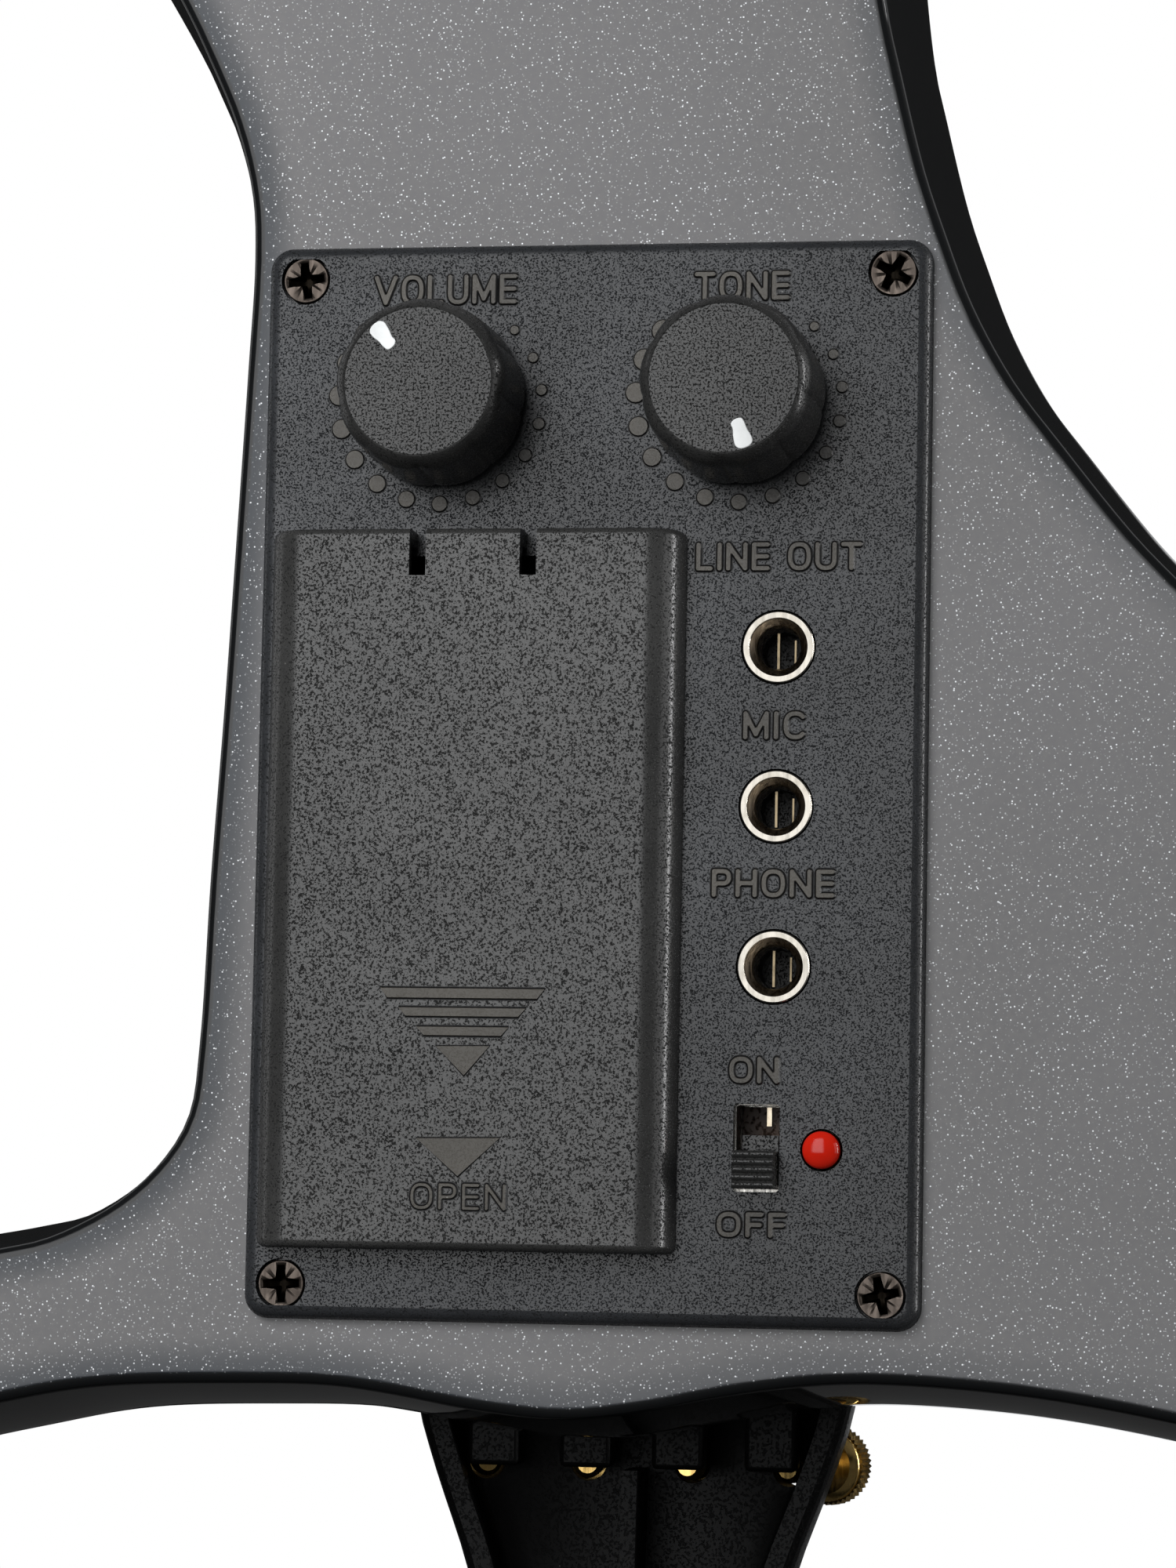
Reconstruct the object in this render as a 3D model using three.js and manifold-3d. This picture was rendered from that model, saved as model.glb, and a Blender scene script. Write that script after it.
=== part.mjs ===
// Electric violin with an open-framed body and a control panel in its back.
// Millimetres. X is to the right seen from the back, Y runs from the back to the strings' side,
// Z runs from the tail to the scroll. The origin is the point under the scroll where a hanger holds it.
import * as THREE from 'three';
import { mergeVertices } from 'three/addons/utils/BufferGeometryUtils.js';
import Module from 'manifold-3d';

const wasm = await Module();
wasm.setup();

const { PI, abs, cos, sin, tan, asin, hypot, sqrt, min, max, round } = Math;
const fullTurn = 2 * PI;
const degree = PI / 180;

// General sizes
const looseGap = 0.3;
const cutOverrun = 3;
const roundSides = 22;
const smallRoundSides = 12;
const crownSteps = 12;
const bellySteps = 10;
const mergeTolerance = 1e-5;

// Strings
const stringLength = 328;
const stringSlope = 6 * degree;
const stringRadii = [0.4, 0.4, 0.34, 0.2];
const stringNames = ['g', 'd', 'a', 'e'];
const stringPlaceShares = [0.5, 1 / 6, -1 / 6, -0.5];
const bridgeSpread = 33.6;
const nutSpread = 16.4;
const pegLeadShare = 0.4;
const stringSides = 6;

// Body
const bodyStop = 196;
const bodyTail = 162;
const boutWidth = 207;
const bodyThickness = 28;
const sideFlare = 2.2;
const widestAtShare = 0.7;
const frontFlareShare = 0.8;
const backEdgeRadius = 0.8;
const frontEdgeRadius = 3;
const outlineStep = 7;

// Control panel
const panelWidth = 56.5;
const panelHeight = 90.5;
const panelThickness = 1.5;
const panelCornerRadius = 2;
const panelEdgeRadius = 0.7;
const panelCentreX = 1.05;
const panelCentreZ = -3.5;
const panelWall = 1.4;
const cavityRim = 3.2;
const cavityFloor = 6;

// Panel screws
const screwSpanX = 50;
const screwSpanZ = 84.7;
const screwHeadRadius = 1.8;
const screwHeadHeight = 1.1;
const screwShankRadius = 1.1;
const screwLength = 12;
const screwSink = 0.15;
const screwCrossLength = 2.9;
const screwCrossWidth = 0.65;
const screwCrossDepth = 0.7;
const screwFaceShare = 0.85;
const screwBevelShare = 0.3;
const screwPointShare = 0.75;

// Knobs and their controls
const knobSpan = 25.35;
const knobCentreX = -0.47;
const knobCentreZ = 31.76;
const knobRadius = 7.3;
const knobTopRadius = 6.8;
const knobFaceRadius = 6.1;
const knobHeight = 7.8;
const knobLift = 0.8;
const knobWall = 1.3;
const knobHubRadius = 3.7;
const pointerLength = 2.2;
const pointerWidth = 1;
const pointerRing = 4.8;
const pointerDepth = 0.5;
const pointerPlay = 0.2;
const pointerProud = 0.04;
const volumeAngle = 320 * degree;
const toneAngle = 162 * degree;
const shaftRadius = 2.1;
const bushRadius = 3.1;
const bushHeight = 3;
const potSize = 12;
const potDepth = 6.5;

// Sockets
const jackNames = ['line_out', 'mic', 'phone'];
const jackX = 15.85;
const jackTopZ = 10.9;
const jackPitch = 13.26;
const sleeveRadius = 3;
const sleeveMouthRadius = 2.4;
const sleeveBoreRadius = 1.8;
const sleeveProud = 0.15;
const sleeveLength = 4.2;
const jackWidth = 9.4;
const jackHeight = 10;
const jackDepth = 6.6;

// Slide switch and lamp
const slotX = 14.64;
const slotZ = -30.5;
const slotWidth = 3.84;
const slotHeight = 7.2;
const sliderWidth = 3.1;
const sliderHeight = 2.9;
const sliderProud = 0.9;
const sliderEndGap = 0.4;
const switchBodyWidth = 6;
const switchBodyHeight = 11;
const switchBodyDepth = 4.4;
const switchWall = 0.6;
const carriageThickness = 1.4;
const ledX = 20.04;
const ledZ = -30.6;
const ledRadius = 1.55;
const ledLength = 5.2;
const ledProud = 0.5;
const ledFlange = 0.35;
const ledDome = 0.6;
const lampSteps = 5;

// Battery, its well and its cover
const coverWidth = 35.1;
const coverHeight = 59.9;
const coverCentreX = -8.85;
const coverCentreZ = -9.4;
const coverProud = 3.4;
const coverSideRadius = 3.2;
const coverWall = 1.3;
const coverTravel = 8;
const coverLip = 1.9;
const notchWidth = 1.4;
const notchDepth = 4;
const notchSpan = 9.35;
const hookLength = 5;
const hookReach = 1.2;
const hookThickness = 1;
const batteryWidth = 26.4;
const batteryDepth = 17.2;
const batteryLength = 46.4;
const snapThickness = 4.6;
const snapWidth = 24;
const snapDepthShare = 0.8;
const wellPlay = 0.6;
const leadRadius = 0.7;
const leadExitShare = 0.4;
const leadRise = 5.5;
const leadSteps = 14;

// Board behind the panel
const boardThickness = 1.6;
const boardEdgeGap = 2.6;

// Neck, pegbox and scroll
const nutWidth = 23.6;
const neckTongueLength = 46;
const neckTongueWidth = 30;
const neckTongueDepth = 12;
const neckThickness = 12.6;
const neckFullness = 0.8;
const heelThickness = 26.6;
const boardSlope = 4.24 * degree;
const pegboxLength = 74;
const pegboxWall = 4.4;
const pegboxBack = 3.4;
const pegboxFrontFall = 31;
const pegboxBackFall = 38.75;
const pegboxCornerShare = 0.35;
const scrollRadius = 16.5;
const scrollWidth = 40;
const scrollEyeRadius = 4.4;
const scrollStartAngle = 207 * degree;
const scrollRiseShare = 0.45;
const scrollTurnSteps = 30;

// Fingerboard and nut
const fingerboardShare = 135 / 164;
const fingerboardLength = stringLength * fingerboardShare;
const fingerboardEnd = 42;
const fingerboardEdge = 5;
const fingerboardCrown = 42;
const nutLength = 5.5;
const nutLift = 0.5;

// Pegs
const pegShaftRadius = 3.5;
const pegTipRadius = 3;
const pegOverhang = 2;
const pegCollarRadius = 5;
const pegCollarLength = 3;
const pegStandOff = 12;
const pegHeadLength = 21;
const pegHeadWidth = 20;
const pegHeadThickness = 7;
const pegHeadSeatShare = 0.44;
const pegCollarShare = 0.8;
const pegHeadSteps = [14, 8];
const pegPlaceShares = { g: 0.19, e: 0.37, d: 0.56, a: 0.75 };

// Tailpiece
const tailpieceLength = 102;
const tailpieceSaddleGap = 1;
const tailpieceWidth = 41;
const tailpieceWall = 2.6;
const tailpieceCrown = 50;
const tailpieceBack = 36.5;
const tailpieceRise = 9.8;
const tailpieceDrop = 6;
const tailpieceTopWall = 2.4;
const tailpieceFallShare = 0.3;
const ribWidth = 1.4;
const ribFoot = 1.2;
const tunerSpread = 25.2;
const tunerSetBack = 11.9;
const tunerHeadRadius = 3.55;
const tunerHeadHeight = 3.6;
const tunerShankRadius = 1.35;
const tunerFanAngle = 32 * degree;
const tunerStandOff = 2.4;
const leverWidth = 4.7;
const leverThickness = 3;
const leverPost = 2.6;
const leverPlay = 0.4;
const leverPostProud = 1.4;
const leverSlotBack = 2.4;
const leverLength = 12.1;

// Bridge and pickup
const bridgeHeight = 31;
const bridgeFootWidth = 41.5;
const bridgeFootThickness = 4.6;
const bridgeTopThickness = 1.6;
const bridgeCrown = 41.5;
const bridgeCrownReach = 2;
const bridgeFootShare = 0.1;
const pickupThickness = 1.5;
const pickupWidth = 6.4;

// Tail end
const saddleWidth = 34;
const saddleHeight = 5.4;
const saddleLength = 6;
const pinRadius = 3.9;
const pinHeadRadius = 7.2;
const pinNeckRadius = 4;
const pinHeadLength = 8;
const pinDepth = 10;
const gutRadius = 0.85;
const gutSpread = 7;
const gutGrip = 8;
const gutSteps = 60;

// Chin rest
const restLength = 68;
const restWidth = 56;
const restCentreX = 55;
const restCentreZ = -128;
const restLift = 7;
const restThickness = 8;
const restLegWidth = 30;
const restLegLength = 8;
const restLegSetBack = 12;
const restLegTopShare = 0.3;
const bracketThickness = 1.8;
const rodSpan = 19;
const rodCentreX = 46;
const rodZ = -168.5;
const rodRadius = 1.4;
const barrelRadius = 2.7;
const barrelLength = 14;
const rodGripShare = 0.4;
const footPlate = 3;
const footReach = 15;

// Hanger point
const hangerPastNut = 68;
const hangZ = stringLength + hangerPastNut;

// Places worked out from the sizes above
const nutTopY = bodyThickness + pickupThickness + bridgeHeight - stringLength * tan(stringSlope);
const bridgeTopY = bodyThickness + pickupThickness + bridgeHeight;
const boardTopAtNut = nutTopY - nutLift;
const glueAtNut = boardTopAtNut - fingerboardEdge - arcRise(nutWidth / 2, fingerboardCrown);
const wellWidth = batteryWidth + 2 * wellPlay;
const wellHeight = batteryLength + snapThickness + 4 * wellPlay;
const wellDepth = panelThickness + hookThickness + 2 * looseGap + batteryDepth + wellPlay;
const boardY = jackDepth + looseGap;

// Helpers

function arcRise(halfWidth, radius) {
  return radius - sqrt(radius * radius - halfWidth * halfWidth);
}

// Height of the neck's glued face above the back, at a place along the strings
function glueHeight(z) {
  return glueAtNut + (stringLength - z) * tan(boardSlope);
}

function toSolid(geometry) {
  const clean = geometry.index ? geometry.toNonIndexed() : geometry.clone();
  clean.deleteAttribute('normal');
  clean.deleteAttribute('uv');
  const merged = mergeVertices(clean, mergeTolerance);
  const solid = new wasm.Manifold(new wasm.Mesh({
    numProp: 3,
    vertProperties: new Float32Array(merged.attributes.position.array),
    triVerts: new Uint32Array(merged.index.array),
  }));
  return solid;
}

function toGeometry(solid) {
  const mesh = solid.getMesh();
  const geometry = new THREE.BufferGeometry();
  geometry.setAttribute('position', new THREE.BufferAttribute(mesh.vertProperties, 3));
  geometry.setIndex(new THREE.BufferAttribute(mesh.triVerts, 1));
  return geometry;
}

function cut(geometry, ...tools) {
  let solid = toSolid(geometry);
  for (const tool of tools) {
    solid = solid.subtract(toSolid(tool));
  }
  return toGeometry(solid);
}

function join(geometry, ...others) {
  let solid = toSolid(geometry);
  for (const other of others) {
    solid = solid.add(toSolid(other));
  }
  return toGeometry(solid);
}

function overlapOf(geometry, other) {
  return toGeometry(toSolid(geometry).intersect(toSolid(other)));
}

// A box between two corners
function box(x0, x1, y0, y1, z0, z1) {
  const geometry = new THREE.BoxGeometry(x1 - x0, y1 - y0, z1 - z0);
  geometry.translate((x0 + x1) / 2, (y0 + y1) / 2, (z0 + z1) / 2);
  return geometry;
}

// A cylinder along Y from y0 to y1
function cylinderY(radius, y0, y1, x, z, sides = roundSides) {
  const geometry = new THREE.CylinderGeometry(radius, radius, y1 - y0, sides);
  geometry.translate(x, (y0 + y1) / 2, z);
  return geometry;
}

// A tapered cylinder along X from x0 to x1
function cylinderX(startRadius, endRadius, x0, x1, y, z, sides = smallRoundSides) {
  const geometry = new THREE.CylinderGeometry(endRadius, startRadius, x1 - x0, sides);
  geometry.rotateZ(-PI / 2);
  geometry.translate((x0 + x1) / 2, y, z);
  return geometry;
}

// A solid of revolution about a line along Y, from [radius, y] pairs that close on themselves or on the axis
function turned(profile, x, z, sides = roundSides) {
  const points = profile.map(([radius, y]) => new THREE.Vector2(radius, y));
  const geometry = new THREE.LatheGeometry(points, sides);
  geometry.translate(x, 0, z);
  return outward(geometry);
}

// The same about a line along Z
function turnedZ(profile, x, y, z) {
  const points = profile.map(([radius, along]) => new THREE.Vector2(radius, along));
  const geometry = new THREE.LatheGeometry(points, roundSides);
  geometry.rotateX(PI / 2);
  geometry.translate(x, y, z);
  return outward(geometry);
}

// Turns a closed geometry's faces outwards where they point inwards
function outward(geometry) {
  const flat = geometry.index ? geometry.toNonIndexed() : geometry;
  const place = flat.attributes.position;
  const a = new THREE.Vector3();
  const b = new THREE.Vector3();
  const c = new THREE.Vector3();
  let volume = 0;
  for (let i = 0; i < place.count; i += 3) {
    a.fromBufferAttribute(place, i);
    b.fromBufferAttribute(place, i + 1);
    c.fromBufferAttribute(place, i + 2);
    volume += a.dot(b.cross(c));
  }
  if (volume < 0) {
    for (let i = 0; i < place.count; i += 3) {
      a.fromBufferAttribute(place, i + 1);
      b.fromBufferAttribute(place, i + 2);
      place.setXYZ(i + 1, b.x, b.y, b.z);
      place.setXYZ(i + 2, a.x, a.y, a.z);
    }
  }
  return flat;
}

// A closed skin over rings of equally many points, with a fan over each end
function loft(rings) {
  const triangles = [];
  const count = rings[0].length;
  for (let r = 0; r + 1 < rings.length; r++) {
    for (let i = 0; i < count; i++) {
      const j = (i + 1) % count;
      triangles.push(rings[r][i], rings[r + 1][i], rings[r + 1][j]);
      triangles.push(rings[r][i], rings[r + 1][j], rings[r][j]);
    }
  }
  for (const ring of [rings[0], rings[rings.length - 1]]) {
    const centre = new THREE.Vector3();
    ring.forEach((point) => centre.addScaledVector(point, 1 / count));
    for (let i = 0; i < count; i++) {
      const j = (i + 1) % count;
      if (ring === rings[0]) {
        triangles.push(centre, ring[i], ring[j]);
      } else {
        triangles.push(centre, ring[j], ring[i]);
      }
    }
  }
  const geometry = new THREE.BufferGeometry().setFromPoints(triangles);
  return outward(geometry);
}

// Points of a round-cornered outline [x, z], anticlockwise seen from the front
function roundedOutline(x, z, width, height, radius, cornerSteps = 4) {
  const points = [];
  const corners = [[1, 1], [-1, 1], [-1, -1], [1, -1]];
  corners.forEach(([sideX, sideZ], quarter) => {
    for (let i = 0; i <= cornerSteps; i++) {
      const angle = (quarter + i / cornerSteps) * PI / 2;
      points.push(new THREE.Vector2(
        x + sideX * (width / 2 - radius) + radius * cos(angle),
        z + sideZ * (height / 2 - radius) + radius * sin(angle),
      ));
    }
  });
  return points;
}

// Moves each point of a closed outline sideways, away from the material on its left
function offsetOutline(points, distance) {
  const count = points.length;
  return points.map((point, i) => {
    const before = points[(i + count - 1) % count];
    const after = points[(i + 1) % count];
    const length = hypot(after.x - before.x, after.y - before.y);
    const away = new THREE.Vector2((after.y - before.y) / length, -(after.x - before.x) / length);
    return new THREE.Vector2(point.x + away.x * distance, point.y + away.y * distance);
  });
}

// A slab along Y whose edge follows levels of [sideways, y], round one outline and any holes in it
function slab(outline, holes, levels) {
  const contours = [outline, ...holes];
  const triangles = [];
  const rings = levels.map(([sideways]) => contours.map((contour) => offsetOutline(contour, sideways)));
  const placed = (point, y) => new THREE.Vector3(point.x, y, point.y);
  for (let level = 0; level + 1 < levels.length; level++) {
    contours.forEach((contour, c) => {
      contour.forEach((point, i) => {
        const j = (i + 1) % contour.length;
        const low = rings[level][c];
        const high = rings[level + 1][c];
        const [lowY, highY] = [levels[level][1], levels[level + 1][1]];
        triangles.push(placed(low[i], lowY), placed(high[j], highY), placed(low[j], lowY));
        triangles.push(placed(low[i], lowY), placed(high[i], highY), placed(high[j], highY));
      });
    });
  }
  [0, levels.length - 1].forEach((level) => {
    const [face, ...faceHoles] = rings[level];
    const points = [face, ...faceHoles].flat();
    THREE.ShapeUtils.triangulateShape(face, faceHoles).forEach(([a, b, c]) => {
      const corners = [a, b, c].map((index) => placed(points[index], levels[level][1]));
      const turn = (points[b].x - points[a].x) * (points[c].y - points[a].y)
        - (points[b].y - points[a].y) * (points[c].x - points[a].x);
      const facesBack = level === 0;
      if (turn > 0 === facesBack) {
        triangles.push(corners[0], corners[1], corners[2]);
      } else {
        triangles.push(corners[0], corners[2], corners[1]);
      }
    });
  });
  return outward(new THREE.BufferGeometry().setFromPoints(triangles));
}

// A straight-sided slab along Y
function plate(outline, y0, y1, holes = []) {
  return slab(outline, holes, [[0, y0], [0, y1]]);
}

// A slab along X from an outline of [y, z] points
function sidePlate(points, x0, x1) {
  const shape = new THREE.Shape(points.map(([y, z]) => new THREE.Vector2(y, z)));
  const geometry = new THREE.ExtrudeGeometry(shape, { depth: x1 - x0, bevelEnabled: false, steps: 1 });
  const basis = new THREE.Matrix4().makeBasis(
    new THREE.Vector3(0, 1, 0), new THREE.Vector3(0, 0, 1), new THREE.Vector3(1, 0, 0),
  );
  geometry.applyMatrix4(basis);
  geometry.translate(x0, 0, 0);
  return outward(geometry);
}

// A slab along Z from an outline of [x, y] points
function crossPlate(points, z0, z1, holes = []) {
  const shape = new THREE.Shape(points.map(([x, y]) => new THREE.Vector2(x, y)));
  holes.forEach((hole) => shape.holes.push(new THREE.Path(hole.map(([x, y]) => new THREE.Vector2(x, y)))));
  const geometry = new THREE.ExtrudeGeometry(shape, { depth: z1 - z0, bevelEnabled: false, steps: 1 });
  geometry.translate(0, 0, z0);
  return outward(geometry);
}

// A tube along a smooth curve through points
function tube(points, radius, steps, sides = 8) {
  const places = points.map((point) => new THREE.Vector3(...point));
  const path = new THREE.CatmullRomCurve3(places, false, 'centripetal');
  const section = new THREE.Shape();
  for (let i = 0; i < sides; i++) {
    const angle = i * fullTurn / sides;
    const place = [radius * cos(angle), radius * sin(angle)];
    if (i === 0) {
      section.moveTo(...place);
    } else {
      section.lineTo(...place);
    }
  }
  const geometry = new THREE.ExtrudeGeometry(section, { steps, extrudePath: path, bevelEnabled: false });
  return outward(geometry);
}

// A thin rod that runs straight from point to point
function rod(points, radius, sides) {
  const places = points.map((point) => new THREE.Vector3(...point));
  const sideways = new THREE.Vector3(1, 0, 0);
  const rings = places.map((place, i) => {
    const before = places[max(i - 1, 0)];
    const after = places[min(i + 1, places.length - 1)];
    const along = after.clone().sub(before).normalize();
    const across = sideways.clone().addScaledVector(along, -sideways.dot(along)).normalize();
    const third = along.clone().cross(across);
    return Array.from({ length: sides }, (_, k) => {
      const angle = k * fullTurn / sides;
      const aside = across.clone().multiplyScalar(radius * cos(angle));
      return place.clone().add(aside).addScaledVector(third, radius * sin(angle));
    });
  });
  return loft(rings);
}

// A closed smooth outline through places, cut into steps of nearly equal length
function smoothOutline(places, step) {
  const points = places.map(([x, z]) => new THREE.Vector3(x, z, 0));
  const curve = new THREE.CatmullRomCurve3(points, true, 'centripetal');
  const count = round(curve.getLength() / step);
  return curve.getSpacedPoints(count).slice(0, count).map((point) => new THREE.Vector2(point.x, point.y));
}

function anticlockwise(points) {
  return THREE.ShapeUtils.isClockWise(points) ? points.slice().reverse() : points;
}

function clockwise(points) {
  return THREE.ShapeUtils.isClockWise(points) ? points : points.slice().reverse();
}

// Materials
const finishes = {
  lacquer: new THREE.MeshStandardMaterial({ color: 0x6e6e72, roughness: 0.35, metalness: 0.4 }),
  panelPlastic: new THREE.MeshStandardMaterial({ color: 0x2c2f33, roughness: 0.6, metalness: 0 }),
  knobPlastic: new THREE.MeshStandardMaterial({ color: 0x1d2022, roughness: 0.6, metalness: 0 }),
  inlay: new THREE.MeshStandardMaterial({ color: 0xe8e8e4, roughness: 0.5, metalness: 0 }),
  nickel: new THREE.MeshStandardMaterial({ color: 0xc9c3b6, roughness: 0.2, metalness: 1 }),
  bronze: new THREE.MeshStandardMaterial({ color: 0x7c6c60, roughness: 0.35, metalness: 1 }),
  gold: new THREE.MeshStandardMaterial({ color: 0xc79a3a, roughness: 0.25, metalness: 1 }),
  composite: new THREE.MeshStandardMaterial({ color: 0x15171a, roughness: 0.55, metalness: 0 }),
  ebony: new THREE.MeshStandardMaterial({ color: 0x17120f, roughness: 0.45, metalness: 0 }),
  maple: new THREE.MeshStandardMaterial({ color: 0xc79a62, roughness: 0.5, metalness: 0 }),
  gloss: new THREE.MeshStandardMaterial({ color: 0x0b0b0d, roughness: 0.15, metalness: 0 }),
  steel: new THREE.MeshStandardMaterial({ color: 0xb4b6b8, roughness: 0.3, metalness: 1 }),
  board: new THREE.MeshStandardMaterial({ color: 0x1f5a35, roughness: 0.5, metalness: 0 }),
  redLens: new THREE.MeshStandardMaterial({ color: 0xc4141c, roughness: 0.15, metalness: 0 }),
  wire: new THREE.MeshStandardMaterial({ color: 0x111111, roughness: 0.6, metalness: 0 }),
  batteryCase: new THREE.MeshStandardMaterial({ color: 0x4a4d52, roughness: 0.4, metalness: 0.3 }),
};

const violin = new THREE.Group();
violin.position.z = -hangZ;

function addPiece(name, geometry, material) {
  const mesh = new THREE.Mesh(geometry, material.clone());
  mesh.name = name;
  violin.add(mesh);
}

// Panel places are counted from the panel's centre
function panelX(x) {
  return panelCentreX + x;
}

function panelZ(z) {
  return panelCentreZ + z;
}

// Body

// Shares of the panel's width and height: the outline beside the panel
const waistLeftShares = [
  [-0.657, 0.744], [-0.608, 0.683], [-0.565, 0.621], [-0.537, 0.553], [-0.531, 0.493], [-0.537, 0.389],
  [-0.549, 0.219], [-0.56, 0.068], [-0.574, -0.094], [-0.584, -0.247], [-0.597, -0.313], [-0.632, -0.353],
  [-0.7, -0.394], [-0.806, -0.429], [-0.878, -0.44],
];
const waistRightShares = [
  [0.858, 0.187], [0.797, 0.227], [0.688, 0.3125], [0.62, 0.369], [0.558, 0.44], [0.514, 0.512],
  [0.485, 0.566], [0.449, 0.656], [0.424, 0.728],
];
const lowerEdgeShares = [
  [-0.871, -0.584], [-0.727, -0.5675], [-0.513, -0.561], [-0.371, -0.561], [-0.276, -0.568],
  [-0.159, -0.58], [-0.019, -0.587], [0.119, -0.5755], [0.188, -0.566], [0.302, -0.554],
  [0.416, -0.5485], [0.642, -0.5556], [0.866, -0.577],
];

// Shares of the lower bout's width and of the length below the bridge
const lowerBoutShares = [
  [-0.29, -0.281], [-0.362, -0.304], [-0.435, -0.355], [-0.483, -0.444], [-0.5, -0.568], [-0.488, -0.698],
  [-0.44, -0.833], [-0.348, -0.932], [-0.217, -0.985], [-0.087, -1], [0.087, -1], [0.217, -0.985],
  [0.348, -0.932], [0.44, -0.833], [0.488, -0.698], [0.5, -0.556], [0.483, -0.407], [0.444, -0.265],
  [0.396, -0.148], [0.338, -0.049], [0.283, 0.028],
];
const lowerOpeningShares = [
  [0.2995, -0.361], [0.357, -0.401], [0.3986, -0.469], [0.4155, -0.562], [0.406, -0.667], [0.367, -0.765],
  [0.295, -0.846], [0.198, -0.892], [0.087, -0.91], [-0.087, -0.91], [-0.198, -0.892], [-0.295, -0.846],
  [-0.367, -0.765], [-0.406, -0.667], [-0.42, -0.568], [-0.403, -0.4815], [-0.36, -0.4167], [-0.297, -0.37],
];

// Shares of the lower bout's width and of the length above the bridge
const upperRightShares = [
  [0.11, 0.439], [0.1014, 0.571], [0.0966, 0.714], [0.0957, 0.842], [0.0947, 0.949], [0.0845, 0.987],
  [0.058, 1],
];
const upperLeftShares = [
  [-0.058, 1], [-0.106, 0.99], [-0.174, 0.962], [-0.256, 0.918], [-0.329, 0.862], [-0.379, 0.791],
  [-0.396, 0.709], [-0.384, 0.628], [-0.348, 0.556], [-0.3, 0.495], [-0.251, 0.439], [-0.208, 0.383],
];
const upperOpeningShares = [
  [-0.13, 0.872], [-0.198, 0.834], [-0.261, 0.783], [-0.304, 0.719], [-0.309, 0.648], [-0.275, 0.582],
  [-0.227, 0.5255], [-0.1836, 0.4796], [-0.145, 0.4515], [-0.116, 0.469], [-0.106, 0.541],
  [-0.104, 0.653], [-0.104, 0.765], [-0.109, 0.842],
];

const byPanel = ([xShare, zShare]) => [panelX(xShare * panelWidth), panelZ(zShare * panelHeight)];
const byLowerBout = ([xShare, zShare]) => [xShare * boutWidth, zShare * bodyTail];
const byUpperBout = ([xShare, zShare]) => [xShare * boutWidth, zShare * bodyStop];

function bodyOutlines() {
  const outer = [
    ...waistLeftShares.map(byPanel),
    ...lowerBoutShares.map(byLowerBout),
    ...waistRightShares.map(byPanel),
    ...upperRightShares.map(byUpperBout),
    ...upperLeftShares.map(byUpperBout),
  ];
  const lowerOpening = [...lowerEdgeShares.map(byPanel), ...lowerOpeningShares.map(byLowerBout)];
  const upperOpening = upperOpeningShares.map(byUpperBout);
  return {
    outer: anticlockwise(smoothOutline(outer, outlineStep)),
    openings: [lowerOpening, upperOpening].map((places) => clockwise(smoothOutline(places, outlineStep))),
  };
}

const cavityWidth = panelWidth - 2 * cavityRim;
const cavityHeight = panelHeight - 2 * cavityRim;
const cornerBlock = (panelWidth - screwSpanX) / 2 + screwHeadRadius;
const screwPlaces = [
  ['top_left', -1, 1], ['top_right', 1, 1], ['bottom_left', -1, -1], ['bottom_right', 1, -1],
].map(([name, sideX, sideZ]) => [name, panelX(sideX * screwSpanX / 2), panelZ(sideZ * screwSpanZ / 2)]);

function cavity() {
  const [halfX, halfZ] = [cavityWidth / 2, cavityHeight / 2];
  const [innerX, innerZ] = [halfX - cornerBlock, halfZ - cornerBlock];
  const corners = [
    [halfX, innerZ], [innerX, innerZ], [innerX, halfZ],
    [-innerX, halfZ], [-innerX, innerZ], [-halfX, innerZ],
    [-halfX, -innerZ], [-innerX, -innerZ], [-innerX, -halfZ],
    [innerX, -halfZ], [innerX, -innerZ], [halfX, -innerZ],
  ];
  const outline = corners.map(([x, z]) => new THREE.Vector2(panelX(x), panelZ(z)));
  return plate(outline, -cutOverrun, bodyThickness - cavityFloor);
}

const leadHoleX = panelX(cavityWidth / 4);
const leadHoleZ = panelZ(cavityHeight / 4);
const leadHoleRadius = leadRadius + 2 * looseGap;
const pinY = bodyThickness / 2;

function makeBody() {
  const { outer, openings } = bodyOutlines();
  const blank = slab(outer, openings, [
    [-backEdgeRadius, 0],
    [0, backEdgeRadius],
    [sideFlare, bodyThickness * widestAtShare],
    [sideFlare * frontFlareShare, bodyThickness - frontEdgeRadius],
    [sideFlare * frontFlareShare - frontEdgeRadius, bodyThickness],
  ]);
  const halfTongue = neckTongueWidth / 2 + looseGap;
  const neckPocket = box(
    -halfTongue, halfTongue,
    glueHeight(bodyStop) - neckTongueDepth, bodyThickness + cutOverrun,
    bodyStop - neckTongueLength - looseGap, bodyStop + 2 * cutOverrun,
  );
  const pilots = screwPlaces.map(([, x, z]) => (
    cylinderY(screwShankRadius + looseGap, -cutOverrun, screwLength, x, z, smallRoundSides)
  ));
  const leadHole = cylinderY(
    leadHoleRadius, bodyThickness - cavityFloor - cutOverrun, bodyThickness + cutOverrun,
    leadHoleX, leadHoleZ, smallRoundSides,
  );
  const pinBore = new THREE.CylinderGeometry(
    pinRadius + looseGap, pinRadius + looseGap, bodyTail, roundSides,
  );
  pinBore.rotateX(PI / 2);
  pinBore.translate(0, pinY, -bodyTail + pinDepth - bodyTail / 2);
  return cut(blank, cavity(), neckPocket, pinBore, leadHole, ...pilots);
}

addPiece('body', makeBody(), finishes.lacquer);

// Control panel

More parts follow.
